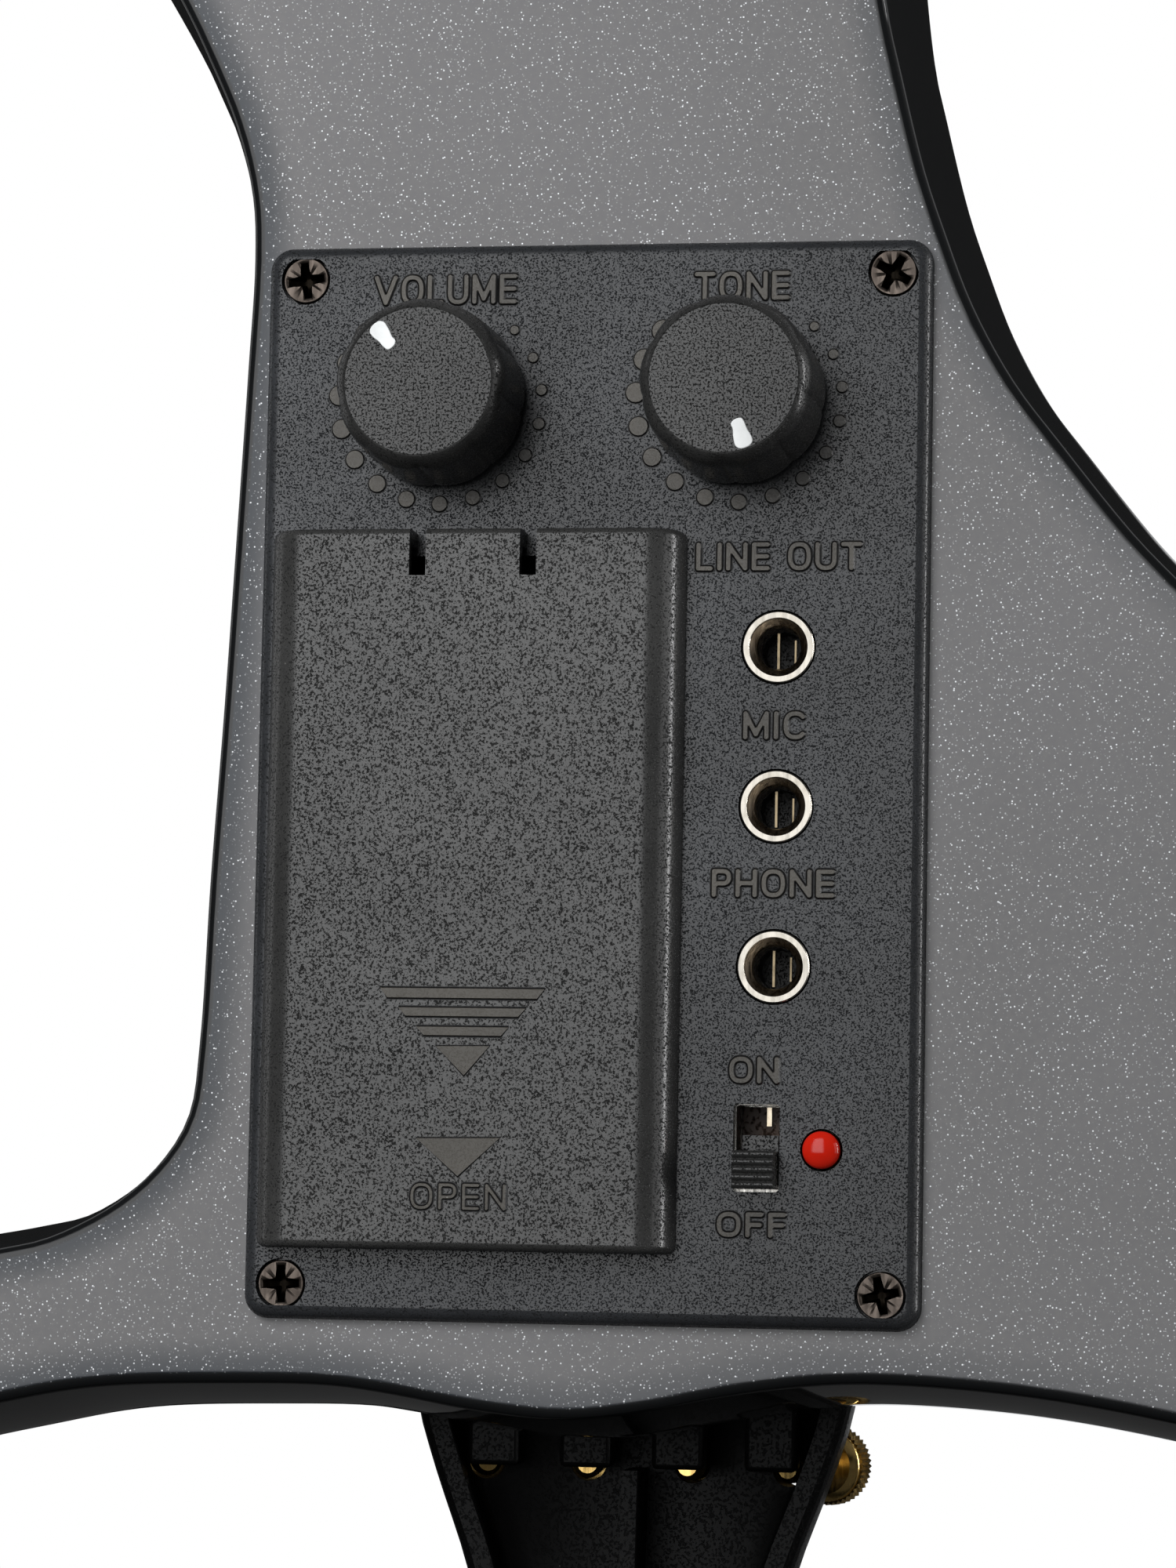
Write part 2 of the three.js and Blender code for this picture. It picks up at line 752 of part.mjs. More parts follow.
const panelFaceY = -panelThickness;
const wellX = panelX(coverCentreX);
const wellTopZ = panelZ(coverCentreZ + coverHeight / 2) - coverLip;
const wellBottomZ = wellTopZ - wellHeight;
const wellFloorY = panelFaceY + wellDepth;
const batteryX = wellX;
const batteryBackY = wellFloorY - wellPlay / 2;
const leadExitY = batteryBackY - batteryDepth * leadExitShare;
const leadWindow = leadRadius + 2 * looseGap;
const hookPlaces = [-1, 1].flatMap((side) => [-1, 1].map((end) => [side, end]));
const hookSpanZ = wellHeight - 3 * hookLength - 2 * coverTravel;

const knobPlaces = {
  volume: [panelX(knobCentreX - knobSpan / 2), panelZ(knobCentreZ), volumeAngle],
  tone: [panelX(knobCentreX + knobSpan / 2), panelZ(knobCentreZ), toneAngle],
};
const jackPlaces = jackNames.map((name, i) => [name, panelX(jackX), panelZ(jackTopZ - i * jackPitch)]);

function makePanel() {
  const outline = roundedOutline(panelX(0), panelZ(0), panelWidth, panelHeight, panelCornerRadius);
  const soft = panelEdgeRadius * (1 - cos(PI / 4));
  const face = slab(outline, [], [
    [-panelEdgeRadius, panelFaceY],
    [-soft, panelFaceY + soft],
    [0, panelFaceY + panelEdgeRadius],
    [0, 0],
  ]);
  const wellBox = box(
    wellX - wellWidth / 2 - panelWall, wellX + wellWidth / 2 + panelWall,
    -looseGap, wellFloorY + panelWall, wellBottomZ - panelWall, wellTopZ + panelWall,
  );
  const wellCut = box(
    wellX - wellWidth / 2, wellX + wellWidth / 2,
    panelFaceY - cutOverrun, wellFloorY, wellBottomZ, wellTopZ,
  );
  const leadCut = box(
    batteryX - leadWindow, batteryX + leadWindow, leadExitY - leadWindow, leadExitY + leadWindow,
    wellTopZ - panelWall, wellTopZ + 2 * panelWall,
  );
  const hookCuts = hookPlaces.map(([side, end]) => {
    const inner = wellX + side * wellWidth / 2;
    const outer = inner + side * (hookReach + 2 * looseGap);
    const centreZ = (wellTopZ + wellBottomZ) / 2 + end * hookSpanZ / 2;
    return join(
      box(
        min(inner, outer) - looseGap, max(inner, outer), 0, 2 * hookThickness,
        centreZ - coverTravel - hookLength / 2 - looseGap, centreZ + hookLength / 2 + looseGap,
      ),
      box(
        min(inner, outer) - looseGap, max(inner, outer), panelFaceY - cutOverrun, hookThickness,
        centreZ - coverTravel - hookLength / 2 - looseGap, centreZ - coverTravel + hookLength / 2 + looseGap,
      ),
    );
  });
  const knobHoles = Object.values(knobPlaces).map(([x, z]) => (
    cylinderY(bushRadius + looseGap, panelFaceY - cutOverrun, cutOverrun, x, z)
  ));
  const jackHoles = jackPlaces.map(([, x, z]) => (
    cylinderY(sleeveRadius + looseGap, panelFaceY - cutOverrun, cutOverrun, x, z)
  ));
  const slot = box(
    panelX(slotX) - slotWidth / 2, panelX(slotX) + slotWidth / 2, panelFaceY - cutOverrun, cutOverrun,
    panelZ(slotZ) - slotHeight / 2, panelZ(slotZ) + slotHeight / 2,
  );
  const ledHole = cylinderY(
    ledRadius + looseGap, panelFaceY - cutOverrun, cutOverrun, panelX(ledX), panelZ(ledZ), smallRoundSides,
  );
  const screwHoles = screwPlaces.map(([, x, z]) => turned([
    [0, panelFaceY - cutOverrun],
    [screwHeadRadius + looseGap, panelFaceY - cutOverrun],
    [screwHeadRadius + looseGap, panelFaceY + screwSink + screwHeadHeight],
    [screwShankRadius + looseGap, panelFaceY + screwSink + screwHeadHeight],
    [screwShankRadius + looseGap, cutOverrun],
    [0, cutOverrun],
  ], x, z, smallRoundSides));
  return cut(
    join(face, wellBox), wellCut, leadCut, ...hookCuts, ...knobHoles, ...jackHoles, slot, ledHole,
    ...screwHoles,
  );
}

addPiece('control_panel', makePanel(), finishes.panelPlastic);

screwPlaces.forEach(([name, x, z]) => {
  const headY = panelFaceY + screwSink;
  const blank = turned([
    [0, headY],
    [screwHeadRadius * screwFaceShare, headY],
    [screwHeadRadius, headY + screwHeadHeight * screwBevelShare],
    [screwHeadRadius, headY + screwHeadHeight - looseGap],
    [screwShankRadius, headY + screwHeadHeight - looseGap],
    [screwShankRadius, screwLength * screwPointShare],
    [0, screwLength - looseGap],
  ], x, z, smallRoundSides);
  const arms = [[screwCrossLength, screwCrossWidth], [screwCrossWidth, screwCrossLength]].map(
    ([width, height]) => box(
      x - width / 2, x + width / 2, headY - cutOverrun, headY + screwCrossDepth,
      z - height / 2, z + height / 2,
    ),
  );
  addPiece(`panel_screw_${name}`, cut(blank, ...arms), finishes.bronze);
});

// Knobs, shafts and controls

Object.entries(knobPlaces).forEach(([name, [x, z, angle]]) => {
  const baseY = panelFaceY - knobLift;
  const topY = baseY - knobHeight;
  const innerTopY = topY + 2 * knobWall;
  const knob = turned([
    [0, topY],
    [knobFaceRadius, topY],
    [knobTopRadius, topY + knobTopRadius - knobFaceRadius],
    [knobRadius, baseY],
    [knobRadius - knobWall, baseY],
    [knobTopRadius - knobWall, innerTopY],
    [knobHubRadius, innerTopY],
    [knobHubRadius, baseY - bushHeight],
    [shaftRadius + looseGap, baseY - bushHeight],
    [shaftRadius + looseGap, innerTopY],
    [0, innerTopY],
  ], x, z);
  const pocket = new THREE.BoxGeometry(pointerWidth, 2 * pointerDepth, pointerLength);
  pocket.translate(0, topY, pointerRing);
  pocket.rotateY(angle);
  pocket.translate(x, 0, z);
  const inlay = new THREE.BoxGeometry(pointerWidth - pointerPlay, pointerDepth, pointerLength - pointerPlay);
  inlay.translate(0, topY + pointerDepth / 2 - pointerProud, pointerRing);
  inlay.rotateY(angle);
  inlay.translate(x, 0, z);
  addPiece(`${name}_knob`, cut(knob, pocket), finishes.knobPlastic);
  addPiece(`${name}_pointer`, inlay, finishes.inlay);
  addPiece(
    `${name}_shaft`,
    cylinderY(shaftRadius, innerTopY + looseGap, potDepth / 2, x, z, smallRoundSides),
    finishes.steel,
  );
  const pot = cut(
    join(
      box(x - potSize / 2, x + potSize / 2, 0, potDepth, z - potSize / 2, z + potSize / 2),
      cylinderY(bushRadius, baseY + looseGap - bushHeight / 2, potDepth / 2, x, z),
    ),
    cylinderY(
      shaftRadius + looseGap, panelFaceY - knobHeight, potDepth / 2 + looseGap, x, z, smallRoundSides,
    ),
  );
  addPiece(`${name}_pot`, pot, finishes.steel);
});

// Sockets

jackPlaces.forEach(([name, x, z]) => {
  const faceY = panelFaceY - sleeveProud;
  const endY = faceY + sleeveLength;
  const mouthStep = sleeveMouthRadius - sleeveBoreRadius;
  addPiece(`${name}_sleeve`, turned([
    [sleeveMouthRadius, faceY],
    [sleeveRadius, faceY],
    [sleeveRadius, endY],
    [sleeveBoreRadius, endY],
    [sleeveBoreRadius, faceY + mouthStep],
    [sleeveMouthRadius, faceY],
  ], x, z), finishes.nickel);
  const housing = cut(
    box(x - jackWidth / 2, x + jackWidth / 2, 0, jackDepth, z - jackHeight / 2, z + jackHeight / 2),
    cylinderY(sleeveRadius + looseGap, -cutOverrun, endY, x, z),
    cylinderY(sleeveBoreRadius, -cutOverrun, jackDepth - panelWall, x, z, smallRoundSides),
  );
  addPiece(`${name}_jack`, housing, finishes.composite);
});

// Slide switch

const switchX = panelX(slotX);
const switchZ = panelZ(slotZ);
const sliderZ = switchZ - slotHeight / 2 + sliderEndGap + sliderHeight / 2;
const switchTravel = slotHeight - sliderHeight - 2 * sliderEndGap;
const carriageTop = switchBodyHeight / 2 - switchWall - looseGap - switchTravel;
const carriageHeight = carriageTop + slotHeight / 2 - sliderEndGap;

addPiece('power_switch', cut(
  box(
    switchX - switchBodyWidth / 2, switchX + switchBodyWidth / 2, 0, switchBodyDepth,
    switchZ - switchBodyHeight / 2, switchZ + switchBodyHeight / 2,
  ),
  box(
    switchX - slotWidth / 2, switchX + slotWidth / 2, -cutOverrun, switchBodyDepth - switchWall,
    switchZ - switchBodyHeight / 2 + switchWall, switchZ + switchBodyHeight / 2 - switchWall,
  ),
), finishes.nickel);

addPiece('switch_slider', join(
  box(
    switchX - sliderWidth / 2, switchX + sliderWidth / 2, panelFaceY - sliderProud, carriageThickness,
    sliderZ - sliderHeight / 2, sliderZ + sliderHeight / 2,
  ),
  box(
    switchX - sliderWidth / 2, switchX + sliderWidth / 2,
    carriageThickness - looseGap, 2 * carriageThickness,
    sliderZ - sliderHeight / 2, sliderZ - sliderHeight / 2 + carriageHeight,
  ),
), finishes.composite);

// Lamp

const lampProfile = [];
for (let i = 0; i <= lampSteps; i++) {
  const angle = i / lampSteps * PI / 2;
  lampProfile.push([ledRadius * sin(angle), panelFaceY - ledProud - ledDome * cos(angle)]);
}
lampProfile.push(
  [ledRadius, looseGap],
  [ledRadius + ledFlange, looseGap],
  [ledRadius + ledFlange, looseGap + 2 * ledFlange],
  [ledRadius, looseGap + 2 * ledFlange],
  [ledRadius, ledLength - ledProud],
  [0, ledLength - ledProud],
);
addPiece('power_led', turned(lampProfile, panelX(ledX), panelZ(ledZ), smallRoundSides), finishes.redLens);

// Battery, its snap and the cover

const batteryBottomZ = wellBottomZ + wellPlay;
const batteryTopZ = batteryBottomZ + batteryLength;

addPiece('battery', box(
  batteryX - batteryWidth / 2, batteryX + batteryWidth / 2, batteryBackY - batteryDepth, batteryBackY,
  batteryBottomZ, batteryTopZ,
), finishes.batteryCase);

addPiece('battery_snap', box(
  batteryX - snapWidth / 2, batteryX + snapWidth / 2,
  batteryBackY - batteryDepth * snapDepthShare, batteryBackY,
  batteryTopZ + looseGap, batteryTopZ + looseGap + snapThickness,
), finishes.wire);

function makeCover() {
  const x = panelX(coverCentreX);
  const z = panelZ(coverCentreZ);
  const [left, right] = [x - coverWidth / 2, x + coverWidth / 2];
  const sideSteps = 5;
  const faceY = panelFaceY - coverProud;
  const section = [];
  for (let i = 0; i <= sideSteps; i++) {
    const angle = i / sideSteps * PI / 2;
    section.push([left + coverSideRadius * (1 - cos(angle)), faceY + coverSideRadius * (1 - sin(angle))]);
  }
  const across = section.map(([edgeX, y]) => [left + right - edgeX, y]).reverse();
  const outline = [[left, panelFaceY], ...section, ...across, [right, panelFaceY]];
  const shell = crossPlate(outline, z - coverHeight / 2, z + coverHeight / 2);
  const hollow = box(
    left + coverWall + coverSideRadius / 2, right - coverWall - coverSideRadius / 2,
    faceY + coverWall, panelFaceY + cutOverrun,
    z - coverHeight / 2 + coverWall, z + coverHeight / 2 - notchDepth - 2 * coverWall,
  );
  const notches = [-1, 1].map((side) => box(
    x + side * notchSpan / 2 - notchWidth / 2, x + side * notchSpan / 2 + notchWidth / 2,
    faceY - cutOverrun, panelFaceY + cutOverrun,
    z + coverHeight / 2 - notchDepth, z + coverHeight / 2 + cutOverrun,
  ));
  const hooks = hookPlaces.map(([side, end]) => {
    const centreZ = (wellTopZ + wellBottomZ) / 2 + end * hookSpanZ / 2;
    const wallX = wellX + side * (wellWidth / 2 - looseGap);
    const footX = wallX - side * hookThickness;
    const tipX = wallX + side * hookReach;
    return join(
      box(
        min(wallX, footX), max(wallX, footX), faceY + coverWall / 2, looseGap + hookThickness,
        centreZ - hookLength / 2, centreZ + hookLength / 2,
      ),
      box(
        min(footX, tipX), max(footX, tipX), looseGap, looseGap + hookThickness,
        centreZ - hookLength / 2, centreZ + hookLength / 2,
      ),
    );
  });
  return join(cut(shell, hollow, ...notches), ...hooks);
}

addPiece('battery_cover', makeCover(), finishes.panelPlastic);

// Circuit board and leads

const boardLeft = panelX(-cavityWidth / 2 + boardEdgeGap);
const boardRight = panelX(cavityWidth / 2 - boardEdgeGap);
const boardTopZ = panelZ(cavityHeight / 2 - cornerBlock - looseGap);
const boardBottomZ = panelZ(-cavityHeight / 2 + cornerBlock + looseGap);
const boardStepZ = wellTopZ + panelWall + boardEdgeGap / 2;
const boardStepX = wellX + wellWidth / 2 + panelWall + boardEdgeGap / 2;

addPiece('circuit_board', plate([
  [boardLeft, boardStepZ], [boardStepX, boardStepZ], [boardStepX, boardBottomZ], [boardRight, boardBottomZ],
  [boardRight, boardTopZ], [boardLeft, boardTopZ],
].map(([x, z]) => new THREE.Vector2(x, z)), boardY, boardY + boardThickness), finishes.board);

const leadEndY = boardY + boardThickness + looseGap;
const leadY = leadEndY + leadRadius;

addPiece('battery_lead', tube([
  [batteryX, leadExitY, batteryTopZ + 2 * looseGap + snapThickness],
  [batteryX, leadExitY, wellTopZ + panelWall + leadRadius],
  [batteryX, (leadExitY + leadEndY) / 2 + leadRadius, wellTopZ + panelWall + leadRise - leadRadius],
  [batteryX, leadEndY, wellTopZ + panelWall + leadRise],
], leadRadius, leadSteps), finishes.wire);

const pickupLeadTop = bodyThickness + pickupThickness / 2;
addPiece('pickup_lead', tube([
  [leadHoleX, leadY, leadHoleZ],
  [leadHoleX, bodyThickness - cavityFloor, leadHoleZ],
  [leadHoleX, bodyThickness + leadRadius, leadHoleZ],
  [leadHoleX - leadRadius, pickupLeadTop + leadRadius, leadHoleZ - 3 * leadRadius],
  [leadHoleX - 2 * leadRadius, pickupLeadTop, pickupWidth / 2 + 2 * leadRadius],
], leadRadius, leadSteps, stringSides), finishes.wire);

// Bridge and pickup

addPiece('bridge_pickup', box(
  -bridgeFootWidth / 2, bridgeFootWidth / 2, bodyThickness, bodyThickness + pickupThickness,
  -pickupWidth / 2, pickupWidth / 2,
), finishes.steel);

// Shares of the foot's half width and of the height, from the foot's outer corner up to the crown
const bridgeSideShares = [
  [1, 0], [1, 0.06], [0.78, 0.17], [0.74, 0.3], [0.9, 0.42], [0.98, 0.5], [0.9, 0.58], [0.86, 0.68],
  [0.93, 0.78],
];
const bridgeArchShares = [[0.5, 0], [0.42, 0.12], [0.3, 0.19], [0.12, 0.23]];
const bridgeHeartShares = [[0, 0.42], [0.12, 0.5], [0.13, 0.57], [0, 0.54]];

function makeBridge() {
  const baseY = bodyThickness + pickupThickness;
  const halfFoot = bridgeFootWidth / 2;
  const place = ([xShare, yShare]) => [xShare * halfFoot, baseY + yShare * bridgeHeight];
  const mirrored = (points) => points.map(([x, y]) => [-x, y]).reverse();
  const right = bridgeSideShares.map(place);
  const halfCrown = bridgeSpread / 2 + bridgeCrownReach;
  const crown = [];
  for (let i = 0; i <= crownSteps; i++) {
    const x = halfCrown * (1 - 2 * i / crownSteps);
    crown.push([x, bridgeTopY - arcRise(x, bridgeCrown)]);
  }
  const arch = bridgeArchShares.map(place);
  const outline = [...right, ...crown, ...mirrored(right), ...mirrored(arch), ...arch.slice().reverse()];
  const heart = bridgeHeartShares.map(place);
  const heartOutline = [...heart, ...mirrored(heart).slice(1, -1)];
  const blank = crossPlate(outline, -bridgeFootThickness / 2, bridgeFootThickness / 2, [heartOutline]);
  const wedge = sidePlate([
    [baseY - cutOverrun, -bridgeFootThickness / 2],
    [baseY + bridgeHeight * bridgeFootShare, -bridgeFootThickness / 2],
    [bridgeTopY + cutOverrun, -bridgeTopThickness / 2],
    [bridgeTopY + cutOverrun, bridgeTopThickness / 2],
    [baseY + bridgeHeight * bridgeFootShare, bridgeFootThickness / 2],
    [baseY - cutOverrun, bridgeFootThickness / 2],
  ], -bridgeFootWidth, bridgeFootWidth);
  return overlapOf(blank, wedge);
}

addPiece('bridge', makeBridge(), finishes.maple);

// Fingerboard and nut

const fingerboardStart = stringLength - nutLength / 2;

function boardHalfWidth(z) {
  return (nutWidth + (fingerboardEnd - nutWidth) * (stringLength - z) / fingerboardLength) / 2;
}

function crownSection(z, halfWidth, bottomY, edgeY, radius, steps) {
  const ring = [new THREE.Vector3(halfWidth, bottomY, z), new THREE.Vector3(-halfWidth, bottomY, z)];
  for (let i = 0; i <= steps; i++) {
    const x = halfWidth * (2 * i / steps - 1);
    ring.push(new THREE.Vector3(x, edgeY + arcRise(halfWidth, radius) - arcRise(abs(x), radius), z));
  }
  return ring;
}

addPiece('fingerboard', loft([fingerboardStart - looseGap, fingerboardStart - fingerboardLength].map((z) => {
  const bottomY = glueHeight(z) + looseGap;
  const edgeY = bottomY + fingerboardEdge;
  return crownSection(z, boardHalfWidth(z), bottomY, edgeY, fingerboardCrown, crownSteps);
})), finishes.ebony);

addPiece('nut', loft([fingerboardStart, fingerboardStart + nutLength].map((z, end) => {
  const bottomY = glueHeight(z) + looseGap;
  const edgeY = nutTopY - arcRise(nutWidth / 2, fingerboardCrown) - end * nutLift;
  return crownSection(z, nutWidth / 2, bottomY, edgeY - looseGap, fingerboardCrown, crownSteps);
})), finishes.ebony);

// Neck with its tongue, pegbox and scroll

// Shares along the free neck from the heel to the nut, with the neck's depth there
const neckRunShares = [0, 0.04, 0.09, 0.15, 0.23, 0.45, 0.8, 1];
const neckDepthShares = [0.99, 0.9, 0.66, 0.36, 0.17, 0.08, 0, 0];
const heelZ = bodyStop + sideFlare + looseGap;

// Shares of the pegbox's length, with its front and back heights and its half width
const pegboxRunShares = [0, 0.1, 0.28, 0.55, 0.82, 1];
const pegboxDropShares = [0, 0.06, 0.15, 0.3, 0.45, 0.56];
const pegboxBackShares = [0, 0.17, 0.29, 0.41, 0.48, 0.5];
const pegboxWidthShares = [1, 1.02, 0.94, 0.84, 0.74, 0.66];
const pegboxSlotShares = [0.02, 0.3, 0.6, 0.9];
const pegboxStartZ = stringLength + nutLength / 2;

// Shares of the scroll's radius at the start and end of its outer and inner turns
const outerTurnShares = [1, 0.7];
const innerTurnShares = [0.72, 0.45];

function shareAt(run, runs, values) {
  for (let i = 0; i + 1 < runs.length; i++) {
    if (run <= runs[i + 1]) {
      return values[i] + (values[i + 1] - values[i]) * (run - runs[i]) / (runs[i + 1] - runs[i]);
    }
  }
  return values[values.length - 1];
}

function pegboxAt(run) {
  const startFrontY = glueHeight(pegboxStartZ);
  const startBackY = startFrontY - neckThickness;
  const frontY = startFrontY - shareAt(run, pegboxRunShares, pegboxDropShares) * pegboxFrontFall;
  const backY = startBackY - shareAt(run, pegboxRunShares, pegboxBackShares) * pegboxBackFall;
  const halfWidth = shareAt(run, pegboxRunShares, pegboxWidthShares) * nutWidth / 2;
  return { z: pegboxStartZ + run * pegboxLength, frontY, backY, halfWidth };
}

// A flat top with a round belly under it
function neckSection(z, topY, depth, halfWidth) {
  const ring = [];
  for (let i = 0; i <= bellySteps; i++) {
    const angle = i / bellySteps * PI;
    ring.push(new THREE.Vector3(halfWidth * cos(angle), topY - depth * sin(angle) ** neckFullness, z));
  }
  return ring;
}

function scrollTurn([startShare, endShare], halfWidth, centreY, centreZ) {
  const startRadius = scrollRadius * startShare;
  const endRadius = scrollRadius * endShare;
  const points = [];
  for (let i = 0; i <= scrollTurnSteps; i++) {
    const share = i / scrollTurnSteps;
    const radius = startRadius * (endRadius / startRadius) ** share;
    const angle = scrollStartAngle - share * fullTurn;
    points.push([centreY + radius * cos(angle), centreZ + radius * sin(angle)]);
  }
  return sidePlate(points, -halfWidth, halfWidth);
}

const scrollEnd = pegboxAt(1);
const scrollY = scrollEnd.backY + scrollRadius;
const scrollZ = scrollEnd.z + scrollRadius * scrollRiseShare;

const pegHoles = Object.fromEntries(Object.entries(pegPlaceShares).map(([name, share]) => {
  const place = pegboxAt(share);
  return [name, { ...place, y: (place.frontY + place.backY + pegboxBack) / 2 }];
}));

function makeNeck() {
  const run = stringLength + nutLength / 2 - heelZ;
  const shaft = loft(neckRunShares.map((share, i) => {
    const z = heelZ + share * run;
    const depth = neckThickness + (heelThickness - neckThickness) * neckDepthShares[i];
    return neckSection(z, glueHeight(z), depth, boardHalfWidth(z) - looseGap);
  }));
  const halfTongue = neckTongueWidth / 2;
  const tongueStart = bodyStop - neckTongueLength;
  const tongue = sidePlate([
    [glueHeight(bodyStop) - neckTongueDepth, tongueStart],
    [glueHeight(tongueStart), tongueStart],
    [glueHeight(heelZ + cutOverrun), heelZ + cutOverrun],
    [glueHeight(bodyStop) - neckTongueDepth, heelZ + cutOverrun],
  ], -halfTongue, halfTongue);
  const pegboxRings = pegboxRunShares.map((share) => {
    const { z, frontY, backY, halfWidth } = pegboxAt(share);
    const corner = halfWidth * pegboxCornerShare;
    return [
      [halfWidth, frontY], [-halfWidth, frontY], [-halfWidth, backY + corner], [corner - halfWidth, backY],
      [halfWidth - corner, backY], [halfWidth, backY + corner],
    ].map(([x, y]) => new THREE.Vector3(x, y, z));
  });
  const slotRings = pegboxSlotShares.map((share) => {
    const { z, frontY, backY, halfWidth } = pegboxAt(share);
    const inner = halfWidth - pegboxWall;
    return [
      [inner, frontY + cutOverrun], [-inner, frontY + cutOverrun],
      [-inner, backY + pegboxBack], [inner, backY + pegboxBack],
    ].map(([x, y]) => new THREE.Vector3(x, y, z));
  });
  const throat = pegboxAt(1).halfWidth;
  const scroll = [
    scrollTurn(outerTurnShares, throat, scrollY, scrollZ),
    scrollTurn(innerTurnShares, (throat + scrollWidth / 2) / 2, scrollY, scrollZ),
    cylinderX(
      scrollEyeRadius, scrollEyeRadius, -scrollWidth / 2, scrollWidth / 2, scrollY, scrollZ, smallRoundSides,
    ),
  ];
  const holes = Object.values(pegHoles).map(({ y, z }) => {
    const radius = pegShaftRadius + looseGap;
    return cylinderX(radius, radius, -nutWidth, nutWidth, y, z);
  });
  return cut(join(shaft, tongue, loft(pegboxRings), ...scroll), loft(slotRings), ...holes);
}

addPiece('neck', makeNeck(), finishes.gloss);

// Pegs

Object.entries(pegHoles).forEach(([name, { y, z, halfWidth }]) => {
  const side = name === 'g' || name === 'd' ? 1 : -1;
  const tipX = -(halfWidth + pegOverhang);
  const collarX = halfWidth + pegStandOff;
  const shaft = cylinderX(pegTipRadius, pegShaftRadius, tipX, collarX + looseGap, 0, 0);
  const collar = cylinderX(
    pegCollarRadius, pegCollarRadius * pegCollarShare, collarX, collarX + pegCollarLength, 0, 0,
  );
  const head = new THREE.SphereGeometry(1, ...pegHeadSteps);
  head.scale(pegHeadLength / 2, pegHeadThickness / 2, pegHeadWidth / 2);
  head.translate(collarX + pegCollarLength + pegHeadLength * pegHeadSeatShare, 0, 0);
  const peg = join(shaft, collar, head);
  if (side < 0) {
    peg.rotateZ(PI);
  }
  peg.translate(0, y, z);
  addPiece(`peg_${name}`, peg, finishes.ebony);
});

// Tailpiece

const saddleZ = -bodyTail + frontEdgeRadius;
const tailpieceStart = -saddleZ - saddleLength - tailpieceSaddleGap - tailpieceLength;
const tunerZ = tailpieceStart + tunerSetBack;
const leverEndZ = tailpieceStart + leverLength;

// Shares of the tailpiece's length, with its half width there
const tailRunShares = [0, 0.05, 0.08, 0.13, 0.19, 0.27, 0.37, 0.55, 0.8, 0.97, 1];
const tailWidthShares = [0.985, 0.975, 0.945, 0.86, 0.745, 0.62, 0.53, 0.47, 0.435, 0.42, 0.3];
const tailHollowShares = [0.02, 0.05, 0.08, 0.13, 0.19, 0.27, 0.37, 0.55, 0.8];
const [ribStartShare, ribEndShare] = [0.12, 0.85];

function tailAt(run) {
  const halfWidth = shareAt(run, tailRunShares, tailWidthShares) * tailpieceWidth / 2;
  const backY = tailpieceBack - run * tailpieceDrop;
  const crownY = tailpieceBack + tailpieceRise - run * (tailpieceDrop + tailpieceRise * tailpieceFallShare);
  return { z: -tailpieceStart - run * tailpieceLength, halfWidth, backY, crownY };
}

function tailRing(run, inset, drop) {
  const { z, halfWidth, backY, crownY } = tailAt(run);
  const half = halfWidth - inset;
  const edgeY = crownY - inset - arcRise(half, tailpieceCrown);
  return crownSection(z, half, backY - drop, edgeY, tailpieceCrown, bellySteps);
}

const tunerFanDepth = tunerSpread / 2 / tan(tunerFanAngle / 2);

const tuners = stringNames.map((name, i) => {
  const x = stringPlaceShares[i] * tunerSpread;
  const angle = asin(x / tunerFanDepth);
  return { name, x, angle };
});

function tunerRod(radius, from, to, x, angle) {
  const geometry = new THREE.CylinderGeometry(radius, radius, to - from, smallRoundSides);
  geometry.translate(0, (from + to) / 2, 0);
  geometry.rotateZ(-angle);
  geometry.translate(x, tailpieceBack, -tunerZ);
  return geometry;
}

const leverTopY = tailpieceBack + leverThickness;
const tailEnd = tailAt(1);
const gutEntryY = (tailEnd.backY + tailEnd.crownY) / 2;

function makeTailpiece() {
  const shell = loft(tailRunShares.map((run) => tailRing(run, 0, 0)));
  const hollow = loft(tailHollowShares.map((run) => tailRing(run, tailpieceWall, cutOverrun)));
  const ribStart = tailAt(ribStartShare);
  const ribEnd = tailAt(ribEndShare);
  const rib = box(
    -ribWidth / 2, ribWidth / 2, ribEnd.backY, tailpieceBack + ribFoot, ribEnd.z, ribStart.z,
  );
  const ribRoof = box(
    -ribWidth / 2, ribWidth / 2, tailpieceBack, ribEnd.crownY - tailpieceTopWall / 2, ribEnd.z, ribStart.z,
  );
  const leverSlots = tuners.map(({ x }) => box(
    x - leverWidth / 2 - leverPlay, x + leverWidth / 2 + leverPlay,
    tailpieceBack - cutOverrun, tailpieceBack + 2 * tailpieceRise,
    -tailpieceStart - leverPost - 2 * leverPlay - leverSlotBack, -tailpieceStart + cutOverrun,
  ));
  const screwHoles = tuners.map(({ x, angle }) => (
    tunerRod(tunerShankRadius + looseGap, -cutOverrun, 2 * tailpieceRise, x, angle)
  ));
  const gutHoles = [-1, 1].map((side) => {
    const hole = new THREE.CylinderGeometry(
      gutRadius + looseGap, gutRadius + looseGap, 2 * gutGrip + 2 * looseGap, smallRoundSides,
    );
    hole.rotateX(PI / 2);
    hole.translate(side * gutSpread / 2, gutEntryY, tailEnd.z);
    return hole;
  });
  const ribbed = join(cut(shell, hollow), overlapOf(join(rib, ribRoof), shell));
  return cut(ribbed, ...leverSlots, ...screwHoles, ...gutHoles);
}

addPiece('tailpiece', makeTailpiece(), finishes.composite);

// Shares of the tuner head's radius and height, round its profile
const tunerHeadShares = [[0.7, 0], [1, 0.2], [1, 0.7], [0.75, 1], [0, 1.1]];

